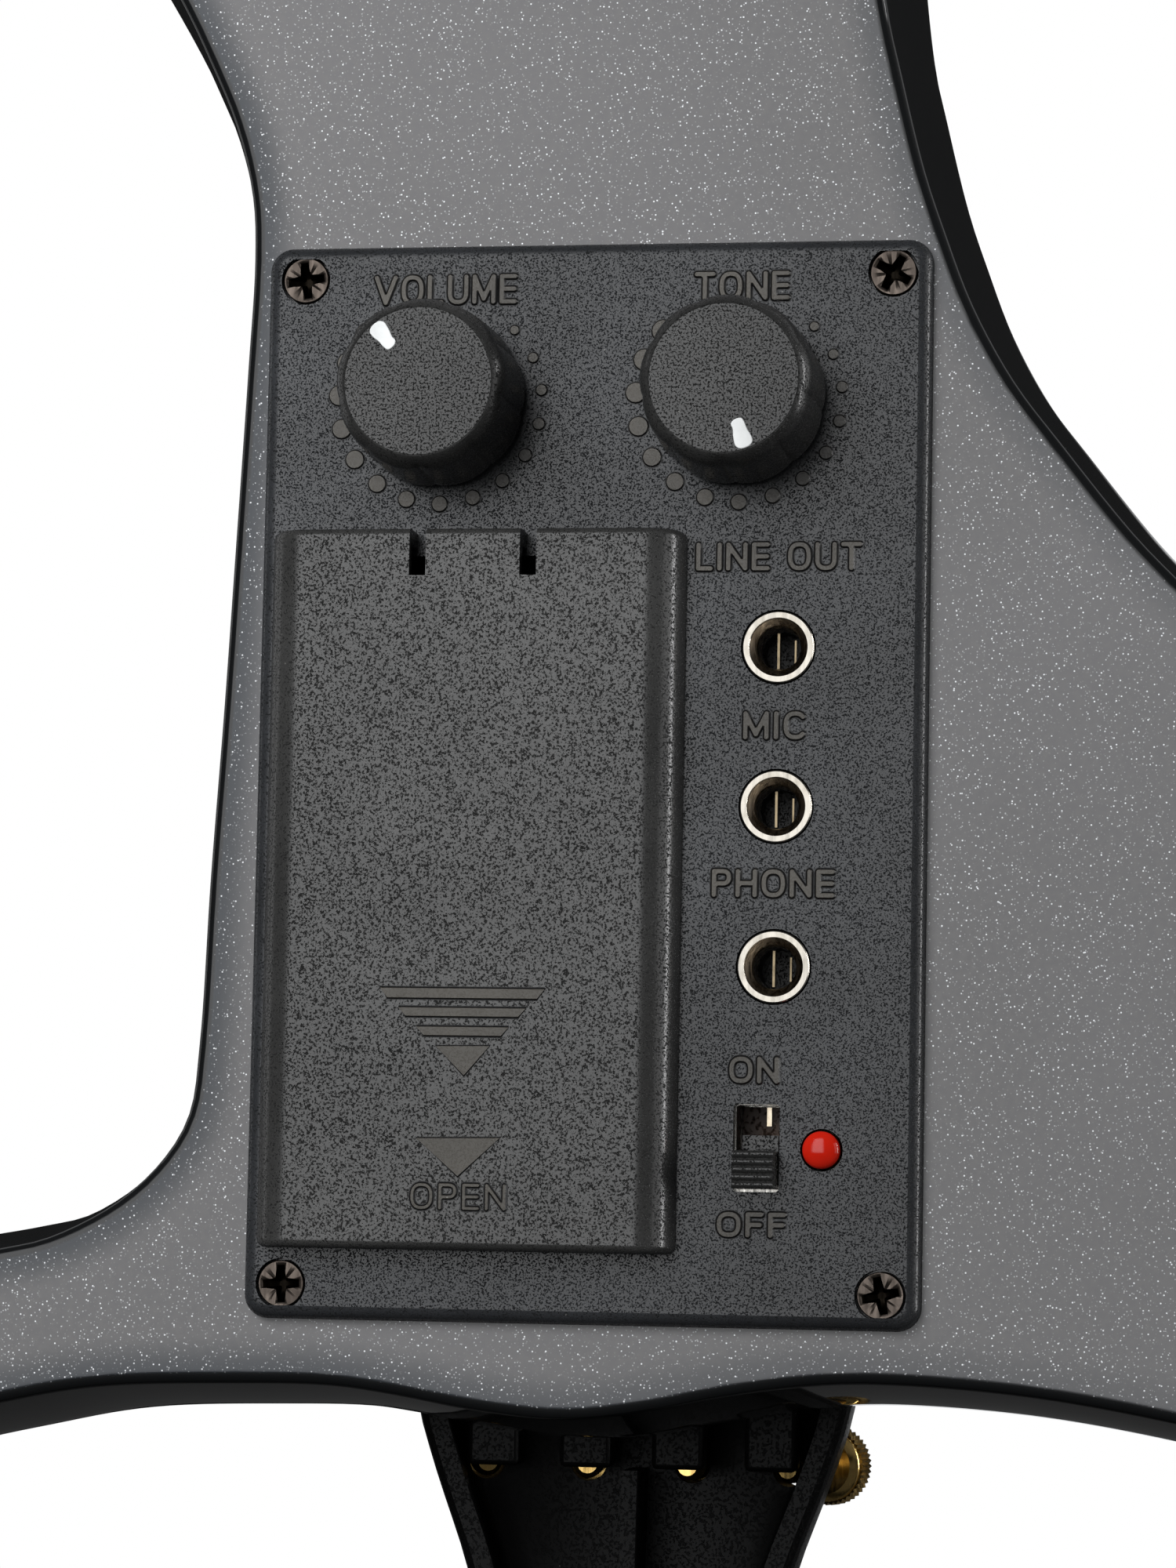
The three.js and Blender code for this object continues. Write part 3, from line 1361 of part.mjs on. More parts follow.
tuners.forEach(({ name, x, angle }) => {
  const tipAt = leverThickness + 3 * looseGap;
  const seatAt = tailpieceRise + tunerStandOff;
  const profile = [
    [0, tipAt], [tunerShankRadius, tipAt], [tunerShankRadius, seatAt],
    ...tunerHeadShares.map(([wide, high]) => [tunerHeadRadius * wide, seatAt + tunerHeadHeight * high]),
  ];
  const screw = turned(profile, 0, 0, smallRoundSides);
  screw.rotateZ(-angle);
  screw.translate(x, tailpieceBack, -tunerZ);
  addPiece(`fine_tuner_screw_${name}`, screw, finishes.gold);

  const postZ = -tailpieceStart - leverPlay - leverPost;
  const lever = join(
    box(x - leverWidth / 2, x + leverWidth / 2, tailpieceBack, leverTopY, -leverEndZ, postZ + leverPost),
    box(
      x - leverWidth / 2, x + leverWidth / 2, tailpieceBack, tailpieceBack + tailpieceRise + leverPostProud,
      postZ, postZ + leverPost,
    ),
  );
  addPiece(`fine_tuner_lever_${name}`, lever, finishes.composite);
});

// Strings

stringNames.forEach((name, i) => {
  const radius = stringRadii[i];
  const share = stringPlaceShares[i];
  const bridgeX = share * bridgeSpread;
  const nutX = share * nutSpread;
  const tailX = share * tunerSpread;
  const bridgeY = bridgeTopY - arcRise(abs(bridgeX), bridgeCrown) + radius + looseGap;
  const nutY = nutTopY - arcRise(abs(nutX), fingerboardCrown) + radius + looseGap;
  const tailZ = -tailpieceStart - leverPlay + looseGap;
  const tailY = tailpieceBack + tailpieceRise;
  const { y, z } = pegHoles[name];
  const pegTopY = y + pegShaftRadius + radius + looseGap;
  addPiece(`string_${name}`, rod([
    [tailX, tailY, tailZ],
    [bridgeX, bridgeY, -bridgeTopThickness / 2],
    [bridgeX, bridgeY, bridgeTopThickness / 2],
    [nutX, nutY, fingerboardStart],
    [nutX, nutY - looseGap, fingerboardStart + nutLength],
    [nutX * pegLeadShare, pegTopY, z],
  ], radius, stringSides), finishes.steel);
});

// Tail end

addPiece('saddle', box(
  -saddleWidth / 2, saddleWidth / 2, bodyThickness, bodyThickness + saddleHeight,
  saddleZ, saddleZ + saddleLength,
), finishes.ebony);

const pinFaceZ = -bodyTail - sideFlare - 3 * looseGap;
const pinTopZ = pinDepth - bodyTail - pinFaceZ - looseGap;

// Shares of the end pin's radius and head length, on both sides of the neck that the gut goes round
const pinCollarShares = [[0.9, 0], [0.9, 0.15]];
const pinNeckShares = [0.25, 0.55];
const pinKnobShares = [[1, 0.7], [0.8, 1], [0, 1.1]];
const alongPin = ([wide, along]) => [pinHeadRadius * wide, -pinHeadLength * along];

addPiece('end_pin', turnedZ([
  [0, pinTopZ],
  [pinRadius, pinTopZ],
  [pinRadius, 0],
  ...pinCollarShares.map(alongPin),
  ...pinNeckShares.map((along) => [pinNeckRadius, -pinHeadLength * along]),
  ...pinKnobShares.map(alongPin),
], 0, pinY, pinFaceZ), finishes.ebony);

const gutZ = pinFaceZ - pinHeadLength * (pinNeckShares[0] + pinNeckShares[1]) / 2;
const gutLoop = pinNeckRadius + gutRadius + looseGap;
const gutSaddleY = bodyThickness + saddleHeight + gutRadius + looseGap;
const gutRight = [
  [gutSpread / 2, gutEntryY, tailEnd.z + gutGrip],
  [gutSpread / 2, gutEntryY, tailEnd.z],
  [gutSpread / 2, gutSaddleY, saddleZ + saddleLength],
  [gutSpread / 2, gutSaddleY, saddleZ],
  [gutLoop, gutSaddleY - 4 * gutRadius, pinFaceZ - gutRadius],
  [gutLoop, (gutSaddleY + pinY) / 2, gutZ],
  [gutLoop, pinY, gutZ],
];
addPiece('tail_gut', tube([
  ...gutRight,
  [gutLoop * cos(PI / 4), pinY - gutLoop * sin(PI / 4), gutZ],
  [0, pinY - gutLoop, gutZ],
  [-gutLoop * cos(PI / 4), pinY - gutLoop * sin(PI / 4), gutZ],
  ...gutRight.map(([x, y, z]) => [-x, y, z]).reverse(),
], gutRadius, gutSteps, stringSides), finishes.wire);

// Chin rest and its clamp

// Shares of the rest's length and width, round its rim
const restRimShares = [
  [0.5, 0.05], [0.47, 0.3], [0.3, 0.47], [0.05, 0.5], [-0.22, 0.44], [-0.44, 0.2], [-0.5, -0.12],
  [-0.42, -0.38], [-0.2, -0.49], [0.1, -0.5], [0.34, -0.42], [0.47, -0.2],
];

// Shares of the rim and of the rest's thickness, from its underside over the rim into the cup
const restRingShares = [[0.88, 0], [0.98, 0.3], [1, 0.7], [0.95, 1], [0.82, 0.85], [0.5, 0.58], [0.2, 0.5]];
const restBottomY = bodyThickness + restLift;
const restLegZ = -bodyTail + restLegSetBack;

function makeChinRest() {
  const rim = smoothOutline(restRimShares.map(([xShare, zShare]) => (
    [restCentreX + xShare * restLength, restCentreZ + zShare * restWidth]
  )), outlineStep);
  const centre = new THREE.Vector2(restCentreX, restCentreZ);
  const rest = loft(restRingShares.map(([wide, high]) => rim.map((point) => {
    const moved = point.clone().sub(centre).multiplyScalar(wide).add(centre);
    return new THREE.Vector3(moved.x, restBottomY + restThickness * high, moved.y);
  })));
  const leg = box(
    rodCentreX - restLegWidth / 2, rodCentreX + restLegWidth / 2,
    bodyThickness, restBottomY + restThickness * restLegTopShare, restLegZ, restLegZ + restLegLength,
  );
  return join(rest, leg);
}

addPiece('chin_rest', makeChinRest(), finishes.ebony);

const rodPlaces = [['inner', rodCentreX - rodSpan / 2], ['outer', rodCentreX + rodSpan / 2]];
const barrelBottomY = bodyThickness / 2 - barrelLength / 2;
const barrelTopY = barrelBottomY + barrelLength;
const rodGrip = barrelLength * rodGripShare;
const footY = -footPlate - looseGap;

addPiece('chin_rest_bracket', join(
  box(
    rodCentreX - rodSpan / 2 - 2 * rodRadius, rodCentreX + rodSpan / 2 + 2 * rodRadius,
    restBottomY - bracketThickness - looseGap, restBottomY - looseGap,
    rodZ - 2 * rodRadius, restLegZ - looseGap,
  ),
  ...rodPlaces.map(([, x]) => cylinderY(
    rodRadius, barrelTopY - rodGrip, restBottomY - bracketThickness + looseGap, x, rodZ, smallRoundSides,
  )),
), finishes.nickel);

addPiece('chin_rest_foot', join(
  box(
    rodCentreX - rodSpan / 2 - 2 * rodRadius, rodCentreX + rodSpan / 2 + 2 * rodRadius,
    footY, footY + footPlate, rodZ - 2 * rodRadius, rodZ + footReach,
  ),
  ...rodPlaces.map(([, x]) => cylinderY(
    rodRadius, footY + footPlate / 2, barrelBottomY + rodGrip, x, rodZ, smallRoundSides,
  )),
), finishes.nickel);

rodPlaces.forEach(([name, x]) => {
  addPiece(`chin_rest_barrel_${name}`, turned([
    [rodRadius + looseGap, barrelBottomY],
    [barrelRadius, barrelBottomY],
    [barrelRadius, barrelTopY],
    [rodRadius + looseGap, barrelTopY],
    [rodRadius + looseGap, barrelBottomY],
  ], x, rodZ, smallRoundSides), finishes.nickel);
});

export default violin;
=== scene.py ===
import math

import bmesh
import bpy
from mathutils import Matrix, Vector, kdtree
from mathutils.geometry import delaunay_2d_cdt


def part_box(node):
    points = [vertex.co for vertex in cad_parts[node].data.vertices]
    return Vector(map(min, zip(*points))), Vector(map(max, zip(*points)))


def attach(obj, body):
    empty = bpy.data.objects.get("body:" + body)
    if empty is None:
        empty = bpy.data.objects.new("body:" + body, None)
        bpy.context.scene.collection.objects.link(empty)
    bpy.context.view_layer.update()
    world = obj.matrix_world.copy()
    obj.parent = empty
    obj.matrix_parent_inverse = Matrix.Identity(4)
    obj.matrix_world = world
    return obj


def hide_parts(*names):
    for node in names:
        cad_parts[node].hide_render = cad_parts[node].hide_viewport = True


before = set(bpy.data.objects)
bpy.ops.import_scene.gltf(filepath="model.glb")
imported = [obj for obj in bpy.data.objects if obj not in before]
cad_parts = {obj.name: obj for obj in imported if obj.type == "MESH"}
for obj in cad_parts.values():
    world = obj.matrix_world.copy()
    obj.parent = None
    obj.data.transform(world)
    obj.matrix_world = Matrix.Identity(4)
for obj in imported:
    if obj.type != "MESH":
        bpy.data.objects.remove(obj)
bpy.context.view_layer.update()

# Camera: a long lens a good third of a metre behind the panel, a little right of it and looking slightly up,
# as the photograph was taken. Its place and direction are metres in the part's frame.
def in_scene(name, data):
    made = bpy.data.objects.new(name, data)
    bpy.context.scene.collection.objects.link(made)
    return made


camera_place = Vector((0.06422, -0.38552, -0.4383))
look = Vector((-0.1613, 0.98205, 0.09783)).normalized()
right = look.cross(Vector((-0.00324, -0.09965, 0.99502))).normalized()
camera_data = bpy.data.cameras.new("camera")
camera_data.lens, camera_data.sensor_width = 108, 36
camera_data.clip_start, camera_data.clip_end = 0.01, 30
camera = in_scene("camera", camera_data)
turn = Matrix((right, right.cross(look), -look)).transposed()
camera.matrix_world = Matrix.Translation(camera_place) @ turn.to_4x4()
bpy.context.scene.camera = camera
bpy.context.scene.view_settings.view_transform = "Standard"


# Light: a white studio, seen as pure white by the camera. Round shapes mirror dark sides, flat ones a bright field
# behind the camera. A small key lamp stands low on the left in front, a wide strip and a thin tube on the right, a
# narrow strip on the left, and a large box lights the side turned away from the photograph.
def node(tree, kind, sockets=None, **settings):
    """A node with its settings and inputs. An input is linked where it is given a socket."""
    made = tree.nodes.new(kind if kind.startswith("Geometry") else "ShaderNode" + kind)
    for key, value in settings.items():
        setattr(made, key, value)
    for key, value in (sockets or {}).items():
        if isinstance(value, bpy.types.NodeSocket):
            tree.links.new(value, made.inputs[key])
        else:
            made.inputs[key].default_value = value
    return made


def ramp(tree, value, low, high, to_low=0.0, to_high=1.0):
    return node(tree, "MapRange", {"Value": value, "From Min": low, "From Max": high, "To Min": to_low,
                                   "To Max": to_high}, interpolation_type="SMOOTHSTEP").outputs[0]


def math_of(tree, operation, first, second):
    return node(tree, "Math", {0: first, 1: second}, operation=operation).outputs[0]


def noise(tree, place, scale, **inputs):
    return node(tree, "TexNoise", {"Vector": place, "Scale": scale, **inputs}).outputs[0]


world = bpy.data.worlds.new("studio")
world.use_nodes = True
sky = world.node_tree
sky.nodes.clear()
rays = node(sky, "LightPath").outputs
seen = math_of(sky, "MAXIMUM", rays["Is Camera Ray"], rays["Is Transmission Ray"])
toward = node(sky, "SeparateXYZ", {0: node(sky, "TexCoord").outputs["Generated"]}).outputs
behind = math_of(sky, "MULTIPLY", toward["Y"], -1.0)
least_behind = 0.05
shelter = math_of(sky, "MAXIMUM", behind, least_behind)
sky_level = math_of(sky, "GREATER_THAN", behind, least_behind)
for axis, *reach in (("X", -0.8, -0.45, 0, 2.1), ("X", -0.04, 0.14, 1, 0), ("Z", -0.22, -0.02, 0.04, 1),
                     ("Z", 0.7, 1.1, 1, 0)):
    slope = math_of(sky, "DIVIDE", toward[axis], shelter)
    sky_level = math_of(sky, "MULTIPLY", sky_level, ramp(sky, slope, *reach))
for reach in ((0.1, 0.5, 0.05, 0.5), (0.6, 0.75, 0.0, -0.49), (0.975, 0.99, 0.0, 0.8)):
    sky_level = math_of(sky, "ADD", sky_level, ramp(sky, toward["Y"], *reach))
studio = node(sky, "Background", {"Color": (0.98, 0.99, 1, 1), "Strength": sky_level})
backdrop = node(sky, "Background", {"Color": (1, 1, 1, 1), "Strength": 1.0})
chosen = node(sky, "MixShader", {0: seen, 1: studio.outputs[0], 2: backdrop.outputs[0]})
node(sky, "OutputWorld", {0: chosen.outputs[0]})
bpy.context.scene.world = world

aim = Vector((0.01, 0, -0.42))
for name, place, width, height, power in (
    ("key_box", (-0.12, -0.25, -0.28), 0.17, 0.17, 0.8),
    ("right_strip", (0.95, -0.08, -0.25), 1.2, 0.7, 2.0),
    ("left_strip", (-0.95, 0.1, -0.35), 0.1, 0.9, 0.35),
    ("rim_tube", (0.95, 0.0, -0.3), 0.03, 0.8, 2.6),
    ("front_box", (0.5, 1.5, 0.4), 1.2, 1.2, 14),
):
    lamp = bpy.data.lights.new(name, "AREA")
    lamp.shape, lamp.size, lamp.size_y, lamp.energy = "RECTANGLE", width, height, power
    stand = in_scene(name, lamp)
    stand.location = place
    stand.rotation_euler = (aim - stand.location).to_track_quat("-Z", "Y").to_euler()
    stand.visible_glossy = name not in ("key_box", "front_box")
    stand.visible_camera = False

floor_mesh = bmesh.new()
floor_radius, floor_z = 1.3, -0.6
bmesh.ops.create_circle(floor_mesh, cap_ends=True, segments=96, radius=floor_radius,
                        matrix=Matrix.Translation((0, 0, floor_z)))
floor_data = bpy.data.meshes.new("floor")
floor_mesh.to_mesh(floor_data)
floor_mesh.free()
floor_paint = bpy.data.materials.new("floor_paper")
floor_paint.use_nodes = True
paint = floor_paint.node_tree
paper = noise(paint, node(paint, "TexCoord").outputs["Object"], 400.0)
paper_tone = node(paint, "MapRange", {"Value": paper, "To Min": 0.86, "To Max": 0.9})
paper_level = node(paint, "MapRange", {"Value": node(paint, "LightPath").outputs["Is Camera Ray"], "To Min": 0.04,
                                       "To Max": paper_tone.outputs[0]})
paper_shader = paint.nodes["Principled BSDF"]
paint.links.new(paper_level.outputs[0], paper_shader.inputs["Base Color"])
paper_shader.inputs["Roughness"].default_value = 0.8
floor_data.materials.append(floor_paint)
in_scene("floor", floor_data)


# Body: one flat frame of lacquered wood with two open bouts, cut from the solid, its edges rounded.
# Grey sparkle lacquer under clear coat on both faces, its flakes white specks that are painted glints. At every edge
# it goes to slate, partly its burst and partly painted shade, strongest on the left, then gloss black.
bridge_z = sum((corner.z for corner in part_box("bridge")), 0.0) / 2


def cos_deg(angle):
    return math.cos(math.radians(angle))


def sin_deg(angle):
    return math.sin(math.radians(angle))


class Shape:
    """Points in millimetres from the bridge line, faces over them and one number, the tint, for each point."""

    def __init__(self):
        self.points, self.faces, self.tints = [], [], []

    def ring(self, points, tint=0.0):
        start = len(self.points)
        self.points += [tuple(point) for point in points]
        self.tints += [tint] * (len(self.points) - start)
        return list(range(start, len(self.points)))

    def level(self, loop, y, tint):
        return self.ring([(p.x, y, p.y) for p in loop], tint)

    def band(self, first, second):
        for i in range(len(first)):
            j = (i + 1) % len(first)
            self.faces.append((first[i], first[j], second[j], second[i]))

    def skin(self, rings, ends=True):
        """Bands between rings of point numbers, with a face over each end."""
        for first, second in zip(rings, rings[1:]):
            self.band(first, second)
        if ends:
            self.faces += [tuple(rings[0]), tuple(rings[-1])]
        return self

    def loft(self, rows, ends=True):
        """A skin over rows of points, all with the tint 0."""
        return self.skin([self.ring(row) for row in rows], ends)

    def fill(self, loops, place, spots=(), tint=lambda u, v: 0.0):
        """A flat face inside the first loop and outside the others, with a point at each spot."""
        corners, outlines = [], []
        for loop in loops:
            outlines.append(list(range(len(corners), len(corners) + len(loop))))
            corners += [Vector(p) for p in anticlockwise(loop)]
        spread, _, faces, _, _, inside = delaunay_2d_cdt(corners + [Vector(s) for s in spots], [], outlines, 1, 1e-6)
        first = len(self.points)
        self.points += [place(p.x, p.y) for p in spread]
        self.tints += [tint(p.x, p.y) for p in spread]
        self.faces += [tuple(first + i for i in face) for face, owners in zip(faces, inside) if list(owners) == [0]]

    def mesh(self, name, sharp=35):
        made = bpy.data.meshes.new(name)
        made.from_pydata([(x / 1000, y / 1000, z / 1000 + bridge_z) for x, y, z in self.points], [], self.faces)
        made.attributes.new("tint", "FLOAT", "POINT").data.foreach_set("value", self.tints)
        faced_out(made, 2e-6)
        made.shade_smooth()
        made.set_sharp_from_angle(angle=math.radians(sharp))
        return evaluated(made)


def faced_out(mesh, weld=0.0):
    """The mesh with its faces turned outward, and its points joined where they lie closer than weld."""
    shell = bmesh.new()
    shell.from_mesh(mesh)
    if weld:
        bmesh.ops.remove_doubles(shell, verts=shell.verts, dist=weld)
        bmesh.ops.dissolve_degenerate(shell, edges=shell.edges, dist=1e-7)
    bmesh.ops.recalc_face_normals(shell, faces=shell.faces)
    shell.to_mesh(mesh)
    shell.free()
    return mesh


def taken_from(work):
    """The mesh of an object with its modifiers applied. The object itself is removed."""
    made = bpy.data.meshes.new_from_object(work.evaluated_get(bpy.context.evaluated_depsgraph_get()))
    bpy.data.objects.remove(work)
    return made


def evaluated(mesh, *modifiers):
    """A mesh with modifiers applied, each given as its kind and its settings, and its normals weighted by face."""
    work = in_scene("work", mesh)
    for kind, settings in (*modifiers, ("WEIGHTED_NORMAL", {"keep_sharp": True, "weight": 100})):
        modifier = work.modifiers.new(kind.lower(), kind)
        for key, value in settings.items():
            setattr(modifier, key, value)
    made = taken_from(work)
    made.name = mesh.name
    return made


def bevelled(mesh, width, segments=2):
    return evaluated(mesh, ("BEVEL", {"width": width / 1000, "segments": segments, "limit_method": "ANGLE"}))


def carved(mesh, tools, sharp):
    """The mesh with each tool's shape cut out of it."""
    cutters = [in_scene("cutter", tool.mesh("cutter")) for tool in tools]
    made = evaluated(mesh, *(("BOOLEAN", {"object": cutter, "solver": "EXACT"}) for cutter in cutters))
    for cutter in cutters:
        bpy.data.objects.remove(cutter)
    made.shade_smooth()
    made.set_sharp_from_angle(angle=math.radians(sharp))
    return evaluated(made)


def show(name, made, material, slot, *nodes, body="violin", sharp=35, bevel=(), cuts=()):
    """A piece from a shape or a mesh, in its material, on the body it rides and in place of the nodes it replaces."""
    mesh = made.mesh(name, sharp) if isinstance(made, Shape) else made
    if bevel:
        mesh = bevelled(mesh, *bevel)
    if cuts:
        mesh = carved(mesh, cuts, sharp)
    piece = in_scene(name, mesh)
    mesh.materials.clear()
    mesh.materials.append(material)
    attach(piece, body)
    if nodes:
        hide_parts(*nodes)


def closed_curve(places, step):
    """Points about a step apart on a smooth closed curve through the places."""
    points = []
    for i in range(len(places)):
        a, b, c, d = (Vector(places[(i + k) % len(places)]) for k in (-1, 0, 1, 2))
        near, middle, far = (math.sqrt((q - p).length) for p, q in ((a, b), (b, c), (c, d)))
        leave = ((b - a) / near - (c - a) / (near + middle) + (c - b) / middle) * middle
        arrive = ((c - b) / middle - (d - b) / (middle + far) + (d - c) / far) * middle
        count = max(1, round((c - b).length / step))
        for t in (k / count for k in range(count)):
            points.append(b * (2 * t**3 - 3 * t**2 + 1) + c * (3 * t**2 - 2 * t**3)
                          + leave * (t**3 - 2 * t**2 + t) + arrive * (t**3 - t**2))
    return points


def area_of(loop):
    return sum(p.x * q.y - q.x * p.y for p, q in zip(loop, loop[1:] + loop[:1])) / 2


def anticlockwise(loop):
    return loop if area_of(loop) > 0 else loop[::-1]


def grown(loop, distance):
    """The loop moved out, to the right of its direction, by a distance."""
    count = len(loop)
    sides = [(loop[(i + 1) % count] - loop[i - 1]).normalized() for i in range(count)]
    return [p + Vector((side.y, -side.x)) * distance for p, side in zip(loop, sides)]


panel_x, panel_z, panel_width, panel_height = 1.05, -3.5, 56.5, 90.5
waist_left = [(-.657, .744), (-.608, .683), (-.565, .621), (-.537, .553), (-.531, .493), (-.537, .389), (-.549, .219),
              (-.56, .068), (-.574, -.094), (-.584, -.247), (-.597, -.313), (-.632, -.353), (-.7, -.394),
              (-.806, -.429), (-.878, -.44)]
waist_right = [(.858, .187), (.797, .227), (.688, .3125), (.62, .369), (.558, .44), (.514, .512), (.485, .566),
               (.449, .656), (.424, .728)]
lower_edge = [(-.871, -.584), (-.727, -.5675), (-.513, -.561), (-.371, -.561), (-.276, -.568), (-.159, -.58),
              (-.019, -.587), (.119, -.5755), (.188, -.566), (.302, -.554), (.416, -.5485), (.642, -.5556),
              (.866, -.577)]
lower_bout = [(-.29, -.281), (-.362, -.304), (-.435, -.355), (-.483, -.444), (-.5, -.568), (-.488, -.698),
              (-.44, -.833), (-.348, -.932), (-.217, -.985), (-.087, -1), (.087, -1), (.217, -.985), (.348, -.932),
              (.44, -.833), (.488, -.698), (.5, -.556), (.483, -.407), (.444, -.265), (.396, -.148), (.338, -.049),
              (.283, .028)]
lower_opening = [(.2995, -.361), (.357, -.401), (.3986, -.469), (.4155, -.562), (.406, -.667), (.367, -.765),
                 (.295, -.846), (.198, -.892), (.087, -.91), (-.087, -.91), (-.198, -.892), (-.295, -.846),
                 (-.367, -.765), (-.406, -.667), (-.42, -.568), (-.403, -.4815), (-.36, -.4167), (-.297, -.37)]
upper_right = [(.11, .439), (.1014, .571), (.0966, .714), (.0957, .842), (.0947, .949), (.0845, .987), (.058, 1)]
upper_left = [(-.058, 1), (-.106, .99), (-.174, .962), (-.256, .918), (-.329, .862), (-.379, .791), (-.396, .709),
              (-.384, .628), (-.348, .556), (-.3, .495), (-.251, .439), (-.208, .383)]
upper_opening = [(-.13, .872), (-.198, .834), (-.261, .783), (-.304, .719), (-.309, .648), (-.275, .582),
                 (-.227, .5255), (-.1836, .4796), (-.145, .4515), (-.116, .469), (-.106, .541), (-.104, .653),
                 (-.104, .765), (-.109, .842)]


def scaled(shares, width, height, x=0.0, z=0.0):
    return [(x + u * width, z + v * height) for u, v in shares]


by_panel = (panel_width, panel_height, panel_x, panel_z)
by_lower_bout, by_upper_bout = (207, 162), (207, 196)
curve_step = 1.5
outer = anticlockwise(closed_curve(
    scaled(waist_left, *by_panel) + scaled(lower_bout, *by_lower_bout) + scaled(waist_right, *by_panel)
    + scaled(upper_right, *by_upper_bout) + scaled(upper_left, *by_upper_bout), curve_step))
openings = [closed_curve(scaled(lower_edge, *by_panel) + scaled(lower_opening, *by_lower_bout), curve_step),
            closed_curve(scaled(upper_opening, *by_upper_bout), curve_step)]
openings = [anticlockwise(loop)[::-1] for loop in openings]
back_round, front_round, front_y = 0.8, 3, 28.0
edge_levels = [(back_round * (sin_deg(a) - 1), back_round * (1 - cos_deg(a))) for a in (0, 22, 45, 67, 90)]
edge_levels += [(0.75, 5), (1.4, 10), (1.95, 15), (2.2, 19.6), (2.08, 23)]
edge_levels += [(-1.24 + front_round * cos_deg(a), front_y - front_round + front_round * sin_deg(a))
                for a in range(0, 91, 15)]
body = Shape()
for loop in (outer, *openings):
    rings = []
    for out, y in edge_levels:
        rings.append(body.level(grown(loop, out), y, -1.0 if rings and y < front_y else 0.0))
    body.skin(rings, ends=False)


def square(x0, x1, z0, z1):
    return [Vector(p) for p in ((x0, z0), (x1, z0), (x1, z1), (x0, z1))]


cavity_corner = ((25.05, 36.95), (19.2, 36.95), (19.2, 42.05))
quarters = ((1, 1), (-1, 1), (-1, -1), (1, -1))
cavity = [Vector((panel_x + side_x * x, panel_z + side_z * z)) for side_x, side_z in quarters
          for x, z in cavity_corner[::side_x * side_z]]
pocket = square(-15.3, 15.3, 149.7, 190.0)
for y, out, hole, floor_y in ((0.0, -back_round, cavity, 22.0), (front_y, -1.24, pocket, 16.6)):
    rims = [grown(loop, out) for loop in (outer, *openings)]
    marks = [p.lerp(q, share / 8) for rim in rims for p, q in zip(rim, rim[1:] + rim[:1]) for share in range(8)]
    near = kdtree.KDTree(len(marks))
    for index, p in enumerate(marks):
        near.insert((p.x, p.y, 0), index)
    near.balance()
    spots = []
    for inset in (0.5, 1, 1.6, 2.4, 3.6, 5.4, 8):
        for rim in rims:
            row = grown(rim, -inset) if inset < 1.5 else grown(rim, -inset)[::2]
            spots += [p for p in row if near.find((p.x, p.y, 0))[2] > 0.93 * inset]
    hole_low = [min(p[k] for p in hole) for k in (0, 1)]
    hole_high = [max(p[k] for p in hole) for k in (0, 1)]
    spots = [p for p in spots if not all(hole_low[k] - 0.3 < p[k] < hole_high[k] + 0.3 for k in (0, 1))]
    body.fill([*rims, hole], lambda u, v: (u, y, v), spots, lambda u, v: near.find((u, v, 0))[2])
    top, bottom = (body.level(hole, at, 30.0) for at in (y, floor_y))
    body.band(top, bottom)
    body.faces.append(tuple(bottom))


def finish(name, pattern, tint_socket=None, relief=0.00003, **settings):
    """A Principled material on a pattern group. A setting goes to the group if it has it, or else to the shader."""
    made = bpy.data.materials.new(name)
    made.use_nodes = True
    tree = made.node_tree
    shader = tree.nodes["Principled BSDF"]
    group = node(tree, "Group", node_tree=pattern)
    tree.links.new(node(tree, "TexCoord").outputs["Object"], group.inputs["Place"])
    if tint_socket:
        tree.links.new(node(tree, "Attribute", attribute_name="tint").outputs["Fac"], group.inputs[tint_socket])
    bump = node(tree, "Bump", {"Height": group.outputs["Height"], "Distance": relief, "Strength": 1.0})
    for key, socket in (("Base Color", group.outputs["Colour"]), ("Roughness", group.outputs["Roughness"]),
                        ("Normal", bump.outputs[0])):
        tree.links.new(socket, shader.inputs[key])
    for key, value in settings.items():
        inputs = group.inputs if key in group.inputs else shader.inputs
        inputs[key.replace("_", " ")].default_value = (*value, 1) if isinstance(value, tuple) else value
    return made


def pattern_group(name, build, **inputs):
    tree = bpy.data.node_groups.new(name, "ShaderNodeTree")
    tree.interface.new_socket("Place", in_out="INPUT", socket_type="NodeSocketVector")
    for label, default in inputs.items():
        kind, default = ("Color", (*default, 1)) if isinstance(default, tuple) else ("Float", default)
        made = tree.interface.new_socket(label, in_out="INPUT", socket_type="NodeSocket" + kind)
        made.default_value = default
    for label, kind in (("Colour", "Color"), ("Roughness", "Float"), ("Height", "Float")):
        tree.interface.new_socket(label, in_out="OUTPUT", socket_type="NodeSocket" + kind)
    given = tree.nodes.new("NodeGroupInput").outputs
    out = tree.nodes.new("NodeGroupOutput")
    for label, socket in zip(("Colour", "Roughness", "Height"), build(tree, given)):
        tree.links.new(socket, out.inputs[label])
    return tree


def blended(tree, share, first, second, blend_type="MIX"):
    return node(tree, "Mix", {0: share, 6: first, 7: second}, data_type="RGBA", blend_type=blend_type).outputs[2]


